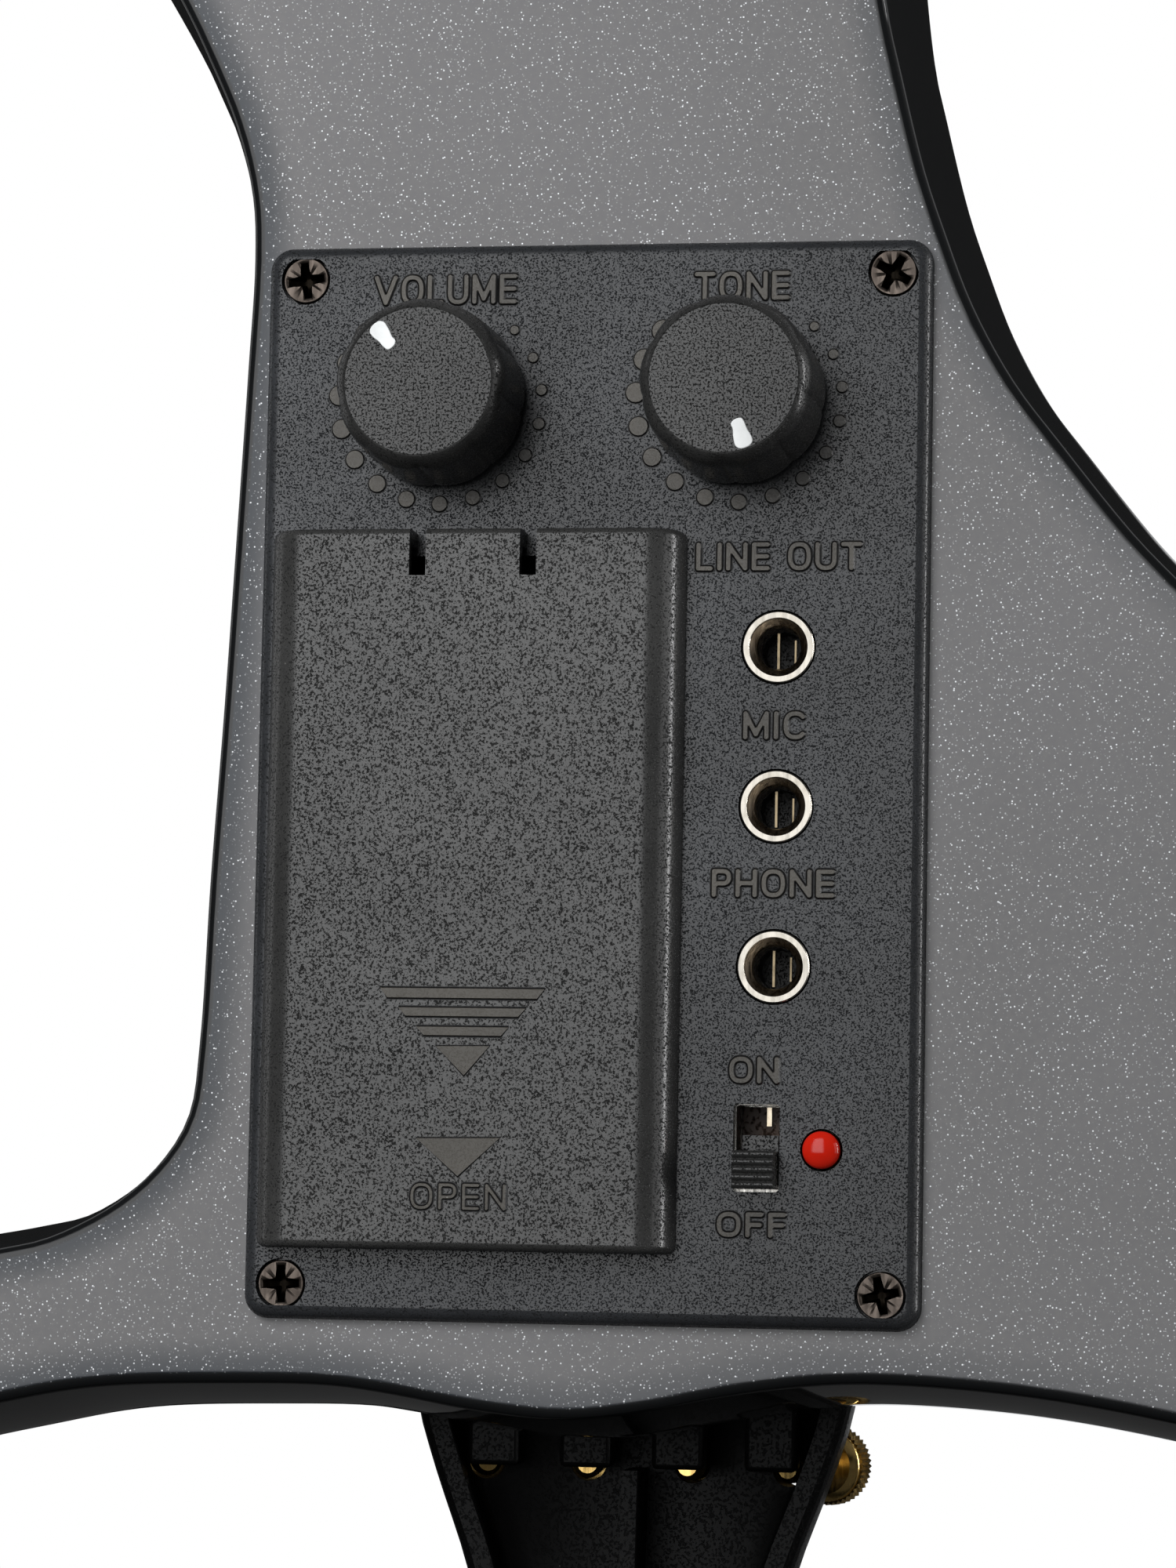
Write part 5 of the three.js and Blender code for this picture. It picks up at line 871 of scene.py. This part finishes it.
def crown_row(z, half, low, edge, bend, soft):
    """A row of points with a flat bottom, upright sides and an arched top, its corners rounded."""
    side = [(half - soft, low), (half - 0.3 * soft, low + 0.3 * soft), (half, low + soft), (half, edge - soft),
            (half - 0.28 * soft, edge - 0.25 * soft)]
    top = [(half - soft) * (1 - k / 7) for k in range(15)]
    row = side + [(x, edge + rise(half, bend) - rise(abs(x), bend)) for x in top] + [(-x, y) for x, y in side[::-1]]
    return [(x, y, z) for x, y in row]


composite = finish("black_composite", moulded, Colour=(0.004, 0.004, 0.0041), Grain=3500.0, Low=0.85, High=1.18,
                   Flat=0.6, Roughness=0.35, relief=0.00003, Specular_IOR_Level=0.12)
tail_runs = [0, .05, .08, .13, .19, .27, .37, .55, .8, .97, 1]
tail_widths = [.985, .975, .945, .86, .745, .62, .53, .47, .435, .42, .3]


def tail_row(run, inset, drop):
    half, bend = 20.5 * at_share(run, tail_runs, tail_widths, 0.012) - inset, 50
    edge = 46.3 - 8.94 * run - inset - rise(half, bend)
    return crown_row(-50 - 102 * run, half, 36.5 - 6 * run - drop, edge, bend, 0.9)


tail_ends = [(0, 0.8), (0.002, 0.3), (0.007, 0)], [(0.995, 0.1), (1, 0.7)]
tail = Shape().loft([tail_row(run, inset, -inset)
                     for run, inset in tail_ends[0] + [(k / 48, 0) for k in range(1, 48)] + tail_ends[1]])
tail_hollow = Shape().loft([tail_row(k / 50, 2.6, 1.5) for k in range(1, 41)])
tuner_xs = {"g": 12.6, "d": 4.2, "a": -4.2, "e": -12.6}


def tuner_place(name):
    angle = math.asin(tuner_xs[name] / 43.94)
    return lambda u, v, h: (tuner_xs[name] + u * math.cos(angle) + h * math.sin(angle),
                            36.5 - u * math.sin(angle) + h * math.cos(angle), -61.9 + v)


tail_cuts = [tail_hollow]
for name, x in tuner_xs.items():
    tail_cuts.append(block(x - 2.65, x + 2.65, 35, 60, -56.2, -49))
    tail_cuts.append(turned([(0, -1), (1.65, -1), (1.65, 19), (0, 19)], tuner_place(name), 24))
tail_rib = Shape().loft([[(-0.7, 36.4 - 6 * run, z), (0.7, 36.4 - 6 * run, z), (0.7, 44.9 - 8.94 * run, z),
                          (-0.7, 44.9 - 8.94 * run, z)] for run, z in ((0.12, -62.24), (0.85, -136.7))])
show("tail_shell", tail, composite, "black_composite", "tailpiece", cuts=tail_cuts)
show("tail_rib", tail_rib, composite, "black_composite")


# Fine tuners: four black levers in the tailpiece's wide end, each tipped by a gold-plated screw whose head
# is knurled all round. The knurls are made by a geometry node tree, one ridge at each point of a circle.
def solved(name, build, **values):
    """The mesh that a tree of geometry nodes makes from its named inputs."""
    tree = bpy.data.node_groups.new(name, "GeometryNodeTree")
    for label, value in values.items():
        kind = type(value).__name__.title()
        tree.interface.new_socket(label, in_out="INPUT", socket_type="NodeSocket" + kind)
    tree.interface.new_socket("Geometry", in_out="OUTPUT", socket_type="NodeSocketGeometry")
    given = tree.nodes.new("NodeGroupInput").outputs
    solid = node(tree, "GeometryNodeRealizeInstances", {0: build(tree, given)})
    painted = node(tree, "GeometryNodeSetMaterial", {"Geometry": solid.outputs[0], "Material": given["Material"]})
    tree.links.new(painted.outputs[0], tree.nodes.new("NodeGroupOutput").inputs[0])
    holder = in_scene(name, bpy.data.meshes.new(name))
    modifier = holder.modifiers.new(name, "NODES")
    modifier.node_group = tree
    for item in tree.interface.items_tree:
        if item.in_out == "INPUT":
            modifier[item.identifier] = values[item.name]
    made = taken_from(holder)
    bpy.data.node_groups.remove(tree)
    return made


def knurl_tree(tree, given):
    points = node(tree, "GeometryNodeMeshCircle", {"Vertices": given["Count"], "Radius": given["Radius"]})
    size = node(tree, "CombineXYZ", {"X": given["Width"], "Y": given["Width"], "Z": given["Height"]})
    bar = node(tree, "GeometryNodeMeshCube", {"Size": size.outputs[0]})
    step = math_of(tree, "DIVIDE", math.tau, given["Count"])
    number = node(tree, "GeometryNodeInputIndex").outputs[0]
    turn = node(tree, "Math", {0: number, 1: step, 2: math.pi / 4}, operation="MULTIPLY_ADD")
    facing = node(tree, "CombineXYZ", {"Z": turn.outputs[0]})
    return node(tree, "GeometryNodeInstanceOnPoints", {"Points": points.outputs[0], "Instance": bar.outputs[0],
                                                       "Rotation": facing.outputs[0]}).outputs[0]


def placed(mesh, place):
    """A mesh made in metres about its own Z axis, put where a place function says, in millimetres."""
    for vertex in mesh.vertices:
        x, y, z = place(*(vertex.co * 1000))
        vertex.co = (x / 1000, y / 1000, z / 1000 + bridge_z)
    return faced_out(mesh)


gold = finish("gold_plate", metal, Colour=(0.95, 0.66, 0.24), Dull=(0.7, 0.43, 0.12), Smooth=0.12, Rough=0.28,
              Metallic=1.0, relief=0.00001)
thread = [(1.2 + 0.15 * (k % 2), 4.4 + 0.25 * k) for k in range(30)]
tuner_profile = [(0, 3.9), (0.9, 3.9), *thread, (1.3, 12.2), (2.6, 12.2), (3.2, 12.6), (3.4, 12.95), (3.4, 15.0),
                 (3.2, 15.35), (2.5, 15.8), (0, 16.1)]
for name, x in tuner_xs.items():
    ride, end = "fine_tuner_lever_" + name, "fine_tuner_screw_" + name
    lever = block(x - 2.35, x + 2.35, 36.5, 39.5, -62.1, -50.5)
    post = block(x - 2.35, x + 2.35, 37.0, 47.7, -53.4, -50.4)
    notch = block(x - 0.5, x + 0.5, 46.2, 49, -55, -49)
    show("tuner_lever_" + name, lever, composite, "black_composite", ride, body=ride, bevel=[0.45])
    show("tuner_post_" + name, post, composite, "black_composite", body=ride, bevel=[0.4], cuts=[notch])
    screw = turned(tuner_profile, tuner_place(name), 40)
    show("tuner_screw_" + name, screw, gold, "gold", end, body=end, sharp=30)
    ridges = solved("knurls", knurl_tree, Count=44, Radius=0.0034, Width=0.00034, Height=0.0021, Material=gold)
    at = tuner_place(name)
    show("tuner_knurl_" + name, placed(ridges, lambda u, v, h: at(u, v, h + 13.98)), gold, "gold", body=end)


# Strings: four steel strings wound with ribbon, from the levers over bridge and nut to the pegs, with silk
# wrapped round both ends. Each ends in a coil on its peg, made by a geometry node tree.
def tube(path, radius, sides=12, shape=None):
    """A round tube along points, with flat ends."""
    path = [Vector(p) for p in path]
    side, rows = None, []
    for k, p in enumerate(path):
        along = (path[min(k + 1, len(path) - 1)] - path[max(k - 1, 0)]).normalized()
        side = along.orthogonal() if side is None else side - along * side.dot(along)
        side.normalize()
        over = along.cross(side)
        rows.append([p + (side * math.cos(math.tau * i / sides) + over * math.sin(math.tau * i / sides)) * radius
                     for i in range(sides)])
    return (shape or Shape()).loft(rows)


def wound_pattern(tree, given):
    place = given["Place"]
    turns = node(tree, "TexWave", {"Vector": place, "Scale": 900.0, "Distortion": 0.0}, bands_direction="Z")
    spot = noise(tree, place, 300.0, Detail=3.0)
    shade = math_of(tree, "MULTIPLY", turns.outputs["Fac"], 0.5)
    tone = blended(tree, shade, given["Colour"], given["Dull"])
    return tone, ramp(tree, spot, 0.3, 0.7, 0.2, 0.4), turns.outputs["Fac"]


wound = pattern_group("wound_ribbon", wound_pattern, Colour=(0.72, 0.71, 0.69), Dull=(0.3, 0.3, 0.3))
string_steel = finish("string_steel", wound, Metallic=1.0, relief=0.00003)
silk = finish("string_silk", moulded, Colour=(0.22, 0.015, 0.03), Grain=2500.0, Roughness=0.5)
string_radii = {"g": 0.4, "d": 0.4, "a": 0.34, "e": 0.2}
string_shares = {"g": 0.5, "d": 1 / 6, "a": -1 / 6, "e": -0.5}
peg_shares = {"g": 0.19, "e": 0.37, "d": 0.56, "a": 0.75}
box_runs, box_drops = [0, 0.1, 0.28, 0.55, 0.82, 1], [0, 0.06, 0.15, 0.3, 0.45, 0.56]
box_backs, box_widths = [0, 0.17, 0.29, 0.41, 0.48, 0.5], [1, 1.02, 0.94, 0.84, 0.74, 0.66]
string_length, nut_back = 328, 330.75
bridge_spread, bridge_bend, nut_spread, board_bend = 33.6, 41.5, 16.4, 42


def glue_height(z):
    return 18.83 + (string_length - z) * 0.07414


def pegbox_at(run, soften=0.0):
    front = glue_height(nut_back)
    return (nut_back + 74 * run, front - 31 * at_share(run, box_runs, box_drops, soften),
            front - 12.6 - 38.75 * at_share(run, box_runs, box_backs, soften),
            11.8 * at_share(run, box_runs, box_widths, soften))


def peg_place(name):
    z, front, back, half = pegbox_at(peg_shares[name])
    return z, (front + back + 3.4) / 2, half


def coil_tree(tree, given):
    spiral = node(tree, "GeometryNodeCurveSpiral", {
        "Resolution": 40, "Rotations": given["Turns"], "Height": given["Length"], "Start Radius": given["Radius"],
        "End Radius": given["Radius"]})
    wire = node(tree, "GeometryNodeCurvePrimitiveCircle", {"Resolution": 10, "Radius": given["Wire"]})
    return node(tree, "GeometryNodeCurveToMesh", {"Curve": spiral.outputs[0], "Profile Curve": wire.outputs[0],
                                                  "Fill Caps": True}).outputs[0]


silks = Shape()
for name, share in string_shares.items():
    radius = string_radii[name]
    bridge_x, nut_x = bridge_spread * share, nut_spread * share
    bridge_y = 60.5 - rise(abs(bridge_x), bridge_bend) + radius + 0.3
    nut_y = 26.026 - rise(abs(nut_x), board_bend) + radius + 0.3
    peg_z, peg_y, _ = peg_place(name)
    path = [(25.2 * share, 46.3, -50.0), (bridge_x, bridge_y, -0.8), (bridge_x, bridge_y, 0.8),
            (nut_x, nut_y, 325.25), (nut_x, nut_y - 0.3, nut_back), (nut_x * 0.4, peg_y + 3.5 + radius + 0.3, peg_z)]
    show("steel_string_" + name, tube(path, radius), string_steel, "steel", "string_" + name)
    for start, low, high in ((0, 0.02, 0.55), (4, 0.05, 0.8)):
        first, last = Vector(path[start]), Vector(path[start + 1])
        tube([first.lerp(last, low), first.lerp(last, high)], radius + 0.07, shape=silks)
    coil = solved("coil", coil_tree, Turns=5.0, Radius=(3.45 + radius) / 1000, Length=0.0102 * radius,
                  Wire=radius / 1000, Material=string_steel)
    away = 1 if share > 0 else -1
    coil = placed(coil, lambda u, v, h: (nut_x * 0.4 - away * h, peg_y + u, peg_z + v))
    show("peg_coil_" + name, coil, string_steel, "steel", body="peg_" + name)
show("string_silks", silks, silk, "steel")


# Bridge: maple, cut from one flat blank that thins to its top, on a piezo pickup strip with a steel cover.
# The strings hold it on the body's front face.
def wood_pattern(tree, given):
    stretch = node(tree, "CombineXYZ", {"X": given["Across"], "Y": given["Through"], "Z": given["Along"]})
    long = node(tree, "VectorMath", {0: given["Place"], 1: stretch.outputs[0]}, operation="MULTIPLY").outputs[0]
    grain = noise(tree, long, given["Grain"], Detail=6.0, Roughness=0.65)
    pores = node(tree, "TexVoronoi", {"Vector": long, "Scale": given["Grain"]})
    tone = blended(tree, ramp(tree, grain, 0.35, 0.65), given["Colour"], given["Dark"])
    tone = blended(tree, ramp(tree, pores.outputs["Distance"], 0.16, 0.08, 0.0, 0.5), tone, given["Dark"])
    return tone, ramp(tree, grain, 0.3, 0.7, given["Smooth"], 0.6), grain


wood = pattern_group("straight_grain", wood_pattern, Colour=(0.6, 0.36, 0.16), Dark=(0.36, 0.18, 0.07), Grain=1200.0,
                     Across=1.0, Through=1.0, Along=1.0, Smooth=0.35)
maple = finish("maple", wood, Across=0.12, relief=0.00002)
bridge_side = [(1, 0), (1, .06), (.78, .17), (.74, .3), (.9, .42), (.98, .5), (.9, .58), (.86, .68), (.93, .78)]
bridge_arch = [(.5, 0), (.42, .12), (.3, .19), (.12, .23)]
heart = [(0, .42), (.12, .5), (.13, .57), (0, .54)]
crown = [(x, 60.75 - rise(abs(x), bridge_bend)) for x in (18.8 * (1 - 2 * k / 12) for k in range(13))]


def bridge_row(shares, side=1):
    return [(side * u * 20.75, 29.5 + 31 * v) for u, v in shares]


def softened(loop):
    """Points along straight sides, pulled a little toward their neighbours to round the corners."""
    step, sharp, points = 0.8, 0.6, []
    for a, b in zip(loop, loop[1:] + loop[:1]):
        a, b = Vector(a), Vector(b)
        count = max(1, round((b - a).length / step))
        points += [a.lerp(b, k / count) for k in range(count)]
    for _ in range(3):
        points = [p * sharp + (points[i - 1] + points[(i + 1) % len(points)]) * (1 - sharp) / 2
                  for i, p in enumerate(points)]
    return points


outline = anticlockwise(softened(bridge_row(bridge_side) + crown + bridge_row(bridge_side[::-1], -1)
                                 + bridge_row(bridge_arch, -1) + bridge_row(bridge_arch[::-1])))
heart_loop = anticlockwise(softened(bridge_row(heart) + bridge_row(heart[2:0:-1], -1)))[::-1]
board = Shape()


def half_thick(v):
    return 2.3 - 1.5 * max(0.0, min(1.0, ((v - 29.5) / 31 - 0.1) / 0.9))


for loop in (outline, heart_loop):
    board.loft([[(p.x, p.y, side * (half_thick(p.y) - inset)) for p in grown(loop, -away)]
                for side, away, inset in ((-1, 0.3, 0), (-1, 0, 0.3), (1, 0, 0.3), (1, 0.3, 0))], ends=False)
for side in (-1, 1):
    board.fill([grown(outline, -0.3), grown(heart_loop, -0.3)], lambda u, v: (u, v, side * half_thick(v)))
show("bridge_blank", board, maple, "bridge_maple", "bridge")
pickup = block(-20.75, 20.75, front_y + 0.02, 29.5, -3.2, 3.2)
show("pickup_strip", pickup, plated_steel, "steel", "bridge_pickup", bevel=[0.3])


# Neck: one piece of maple in gloss black lacquer with heel, pegbox and carved scroll, let into the body.
# The ebony fingerboard and nut are glued to it; their tops are arched to the strings.
gloss = finish("gloss_black", moulded, Colour=(0.006, 0.006, 0.0065), Grain=200.0, Low=0.9, High=1.1, Roughness=0.16,
               Coat_Weight=1.0, relief=0.000004)
ebony = finish("ebony", wood, Colour=(0.022, 0.019, 0.017), Dark=(0.008, 0.007, 0.007), Along=0.06, Smooth=0.28,
               relief=0.00002)


def board_half(z):
    return (23.6 + 18.4 * (string_length - z) / 270) / 2


board_ends = [(324.95, 0.25), (324.8, 0)], [(55.5, 0.1), (55.25, 0.6)]
fingerboard = Shape().loft([
    crown_row(z, board_half(z) - inset, glue_height(z) + 0.3 + inset, glue_height(z) + 5.3 - inset, board_bend, 0.5)
    for z, inset in board_ends[0] + [(324 - 268 * k / 12, 0) for k in range(13)] + board_ends[1]])
show("ebony_fingerboard", fingerboard, ebony, "ebony", "fingerboard")
nut = Shape().loft([
    crown_row(z, 11.8 - inset, glue_height(z) + 0.3, 26.3 - rise(11.8, board_bend) - drop, board_bend, 0.3)
    for z, inset, drop in ((325.25, 0.1, 0.05), (325.45, 0, 0), (328, 0, 0.2), (330, 0, 0.6), (nut_back, 0.3, 1.3))])
grooves = []
for name, share in string_shares.items():
    middle, reach = nut_spread * share, string_radii[name] + 0.05
    low = 26.026 - rise(abs(middle), board_bend) + 0.28
    grooves.append(block(middle - reach, middle + reach, low, low + 3, 324, 332))
show("string_nut", nut, ebony, "ebony", "nut", cuts=grooves)

neck_runs, neck_depths = [0, .04, .09, .15, .23, .45, .8, 1], [.99, .9, .66, .36, .17, .08, 0, 0]
neck_stations = [(198.5 + 132.25 * run, 12.6 + 14 * at_share(run, neck_runs, neck_depths, 0.015))
                 for run in (k / 60 for k in range(61))]
shaft = Shape().loft([[((board_half(z) - 0.3) * math.cos(math.pi * k / 28),
                        glue_height(z) - depth * math.sin(math.pi * k / 28) ** 0.8, z) for k in range(29)]
                      for z, depth in neck_stations])
block(-15, 15, 16.63, glue_height(201.5), 150.1, 201.5, shaft)
rows = []
for run in (k / 40 for k in range(41)):
    z, front, back, half = pegbox_at(run, 0.02)
    side = [(half - 0.5, front), (half, front - 0.5), (half, (front + back) / 2)]
    side += [(half - 0.35 * half * (1 - cos_deg(a)), back + 0.35 * half * (1 - sin_deg(a)))
             for a in (0, 22, 45, 67, 90)]
    rows.append([(x, y, z) for x, y in side + [(-x, y) for x, y in side[::-1]]])
head = Shape().loft(rows)
rows = []
for run in (0.02 + 0.88 * k / 24 for k in range(25)):
    z, front, back, half = pegbox_at(run, 0.02)
    inside = half - 4.4
    rows.append([(inside, front + 3, z), (-inside, front + 3, z), (-inside, back + 3.4, z), (inside, back + 3.4, z)])
hollow, holes = Shape().loft(rows), []
for name in peg_shares:
    z, y, half = peg_place(name)
    holes.append(turned([(0, -15), (3.75, -15), (3.75, 15), (0, 15)], along_x(y, z), 32))
turn_count, full_turn = 120, 760
eye_y, eye_z = pegbox_at(1)[2] + 16.5, 412.175


def spiral(angle):
    return 16.5 * 0.7 ** (angle / 360)


rows = []
for k in range(turn_count + 1):
    angle = full_turn * k / turn_count
    outside, inside = spiral(angle), max(3.4, spiral(angle + 360) - 0.7)
    wide = 7.79 + 10.4 * (angle / full_turn) ** 1.3
    flute = 0.9 * min(1.0, angle / 70)
    side = [(inside, wide), (outside - 0.6, wide), (outside - 0.15, wide - 0.2), (outside, wide - 0.7),
            (outside - 0.7 * flute, wide * 0.72), (outside - flute, wide * 0.5), (outside - 0.7 * flute, wide * 0.24),
            (outside - 0.1, 0.35)]
    across, along = cos_deg(207 - angle), sin_deg(207 - angle)
    rows.append([(x, eye_y + r * across, eye_z + r * along) for r, x in side + [(r, -x) for r, x in side[::-1]]])
scroll = Shape().loft(rows)
turned([(0, -20), (3.4, -19.9), (4.1, -19.4), (4.4, -18.6), (4.4, 18.6), (4.1, 19.4), (3.4, 19.9), (0, 20)],
       along_x(eye_y, eye_z), 40, shape=scroll)
show("neck_shaft", shaft, gloss, "gloss_black", "neck")
show("neck_pegbox", head, gloss, "gloss_black", cuts=[hollow, *holes])
show("neck_scroll", scroll, gloss, "gloss_black", sharp=40)


# Pegs: four turned ebony pegs with a collar, a flat carved head and a round pip at its end. Each is held
# by its taper in the pegbox walls.
def bulged(share):
    return math.copysign(abs(share) ** 0.85, share)


peg_shank = [(0, -2), (2.7, -2), (3.0, -1.6)]
peg_collar = [(3.5, -0.1), (4.8, 0), (5.0, 0.3), (4.9, 0.9), (4.1, 1.3), (4.3, 1.9), (4.0, 2.6), (2.6, 3.2), (0, 3.2)]
peg_head = [(0, 2, 2), (.07, 2.7, 2.3), (.16, 4.7, 2.8), (.27, 7.6, 3.2), (.4, 9.5, 3), (.55, 10, 2.5),
            (.7, 9.9, 2.3), (.83, 9, 2.5), (.92, 7.4, 2.6), (.975, 5.4, 2.4), (1, 3.4, 1.6)]
peg_pip = [(0, 21.5), (1.5, 21.9), (1.75, 22.6), (1.4, 23.3), (0, 23.6)]
for name in peg_shares:
    z, y, half = peg_place(name)
    at = along_x(y, z, 1 if name in "gd" else -1)
    collar = half + 12
    peg = turned([(r, h - half) for r, h in peg_shank] + [(r, collar + h) for r, h in peg_collar], at, 40)
    peg.loft([[at(thick * bulged(math.sin(t)), wide * bulged(math.cos(t)), collar + 2.5 + 19.8 * share)
               for t in (math.tau * k / 36 for k in range(36))] for share, wide, thick in peg_head])
    turned([(r, collar + h) for r, h in peg_pip], at, 20, shape=peg)
    show("ebony_peg_" + name, peg, ebony, "ebony", "peg_" + name, body="peg_" + name, sharp=50)


# Tail end: an ebony saddle let into the edge, the end pin in its hole, and the tail gut, a stiff black cord
# from the tailpiece's narrow end over the saddle and round the pin's neck.
saddle = block(-17, 17, front_y, 33.4, -159, -153)
show("ebony_saddle", saddle, ebony, "ebony", "saddle", bevel=[1.2, 4])
pin = turned([(0, 12.8), (3.6, 12.8), (3.9, 12.3), (3.9, 0), (6.3, -0.1), (6.48, -0.5), (6.4, -1.1), (4.2, -1.9),
              (4, -2.2), (4, -4.3), (4.3, -4.6), (6.6, -5.4), (7.15, -6.3), (6.9, -7.3), (5.6, -8.2), (3, -8.7),
              (0, -8.8)], lambda u, v, h: (u, 14 + v, h - 165.1))
show("ebony_pin", pin, ebony, "ebony", "end_pin")


def smooth_path(places):
    """Points on a smooth open curve through the places, five for each stretch."""
    places = [Vector(p) for p in places]
    ends = [places[0] * 2 - places[1]] + places + [places[-1] * 2 - places[-2]]
    made = []
    for a, b, c, d in zip(ends, ends[1:], ends[2:], ends[3:]):
        for t in (k / 5 for k in range(5)):
            made.append((b * 2 + (c - a) * t + (a * 2 - b * 5 + c * 4 - d) * t * t
                         + (b * 3 - a - c * 3 + d) * t**3) / 2)
    return made + [places[-1]]


gut_right = [(3.5, 33.93, -144), (3.5, 33.93, -152), (3.5, 34.55, -153), (3.5, 34.55, -159), (5.15, 31.15, -165.95),
             (5.15, 24.3, -168.3), (5.15, 14, -168.3)]
gut_path = gut_right + [(3.64, 10.36, -168.3), (0, 8.85, -168.3), (-3.64, 10.36, -168.3)]
gut = tube(smooth_path(gut_path + [(-x, y, z) for x, y, z in gut_right[::-1]]), 0.85, 10)
gut_nylon = finish("gut_nylon", moulded, Colour=(0.018, 0.018, 0.018), Roughness=0.3)
show("black_gut", gut, gut_nylon, "black_composite", "tail_gut")


# Chin rest: a carved ebony cup on a short leg, held to the edge of the body by a plated clamp with two
# turned barrels that draw its foot up against the back.
rim_shares = [(.5, .05), (.47, .3), (.3, .47), (.05, .5), (-.22, .44), (-.44, .2), (-.5, -.12), (-.42, -.38),
              (-.2, -.49), (.1, -.5), (.34, -.42), (.47, -.2)]
middle = Vector((55, -128))
rim = closed_curve([(middle.x + 68 * u, middle.y + 56 * v) for u, v in rim_shares], 1.5)
cup_section = [(.8, 0), (.88, .02), (.94, .13), (.98, .33), (1, .6), (.998, .8), (.985, .93), (.96, 1), (.93, .995),
               (.89, .93), (.84, .85), (.75, .76), (.65, .68), (.5, .59), (.35, .53), (.2, .5), (.08, .49)]
cup = Shape().loft([[(middle.x + (p.x - middle.x) * wide, 35 + 8 * high, middle.y + (p.y - middle.y) * wide)
                     for p in rim] for wide, high in cup_section])
leg = block(31, 61, front_y + 0.02, 37, -150, -142)
show("ebony_cup", cup, ebony, "ebony", "chin_rest")
show("ebony_leg", leg, ebony, "ebony", bevel=[0.8, 3])
bracket, foot = Shape(), Shape()
for shape, z0, z1, y0, y1 in ((bracket, -171.3, -150.3, 32.9, 34.7), (foot, -171.3, -153.5, -3.3, -0.3)):
    plate = rounded_rect(46, (z0 + z1) / 2, 24.6, z1 - z0, 3)
    shape.loft([flat(grown(plate, -inset), y) for inset, y in (
        (0.5, y0), (0.15, y0 + 0.12), (0, y0 + 0.5), (0, y1 - 0.5), (0.15, y1 - 0.12), (0.5, y1))])
barrels, rod_z = {"inner": 36.5, "outer": 55.5}, -168.5
rod_thread = [1.4 - 0.16 * (k % 2) for k in range(18)]
for x in barrels.values():
    for shape, start, way, end in ((bracket, 15.4, 1, (23, 33.5)), (foot, 12.6, -1, (5.4, -1.5))):
        threaded = [(r, start + way * 0.4 * k) for k, r in enumerate(rod_thread)]
        turned([(0, start), *threaded, (1.4, end[0]), (1.4, end[1]), (0, end[1])], along_y(x, rod_z), 24, shape=shape)
show("clamp_bracket", bracket, nickel, "nickel", "chin_rest_bracket")
show("clamp_foot", foot, nickel, "nickel", "chin_rest_foot", body="chin_rest_foot")
barrel_profile = [(1.7, 7), (2.4, 7), (2.7, 7.3), (2.7, 8.6), (2.45, 8.8), (2.45, 9.1), (2.7, 9.3), (2.7, 18.7),
                  (2.45, 18.9), (2.45, 19.2), (2.7, 19.4), (2.7, 20.7), (2.4, 21), (1.7, 21)]
for name, x in barrels.items():
    barrel = turned(barrel_profile, along_y(x, rod_z), 40, bored=True)
    key_holes = [turned([(0, -4), (0.7, -4), (0.7, 4), (0, 4)], place, 16) for place in (
        lambda u, v, h: (x + h, 12.6 + u, rod_z + v), lambda u, v, h: (x + u, 15.4 + v, rod_z + h))]
    ride = "chin_rest_barrel_" + name
    show("clamp_barrel_" + name, barrel, nickel, "nickel", ride, body=ride, cuts=key_holes)
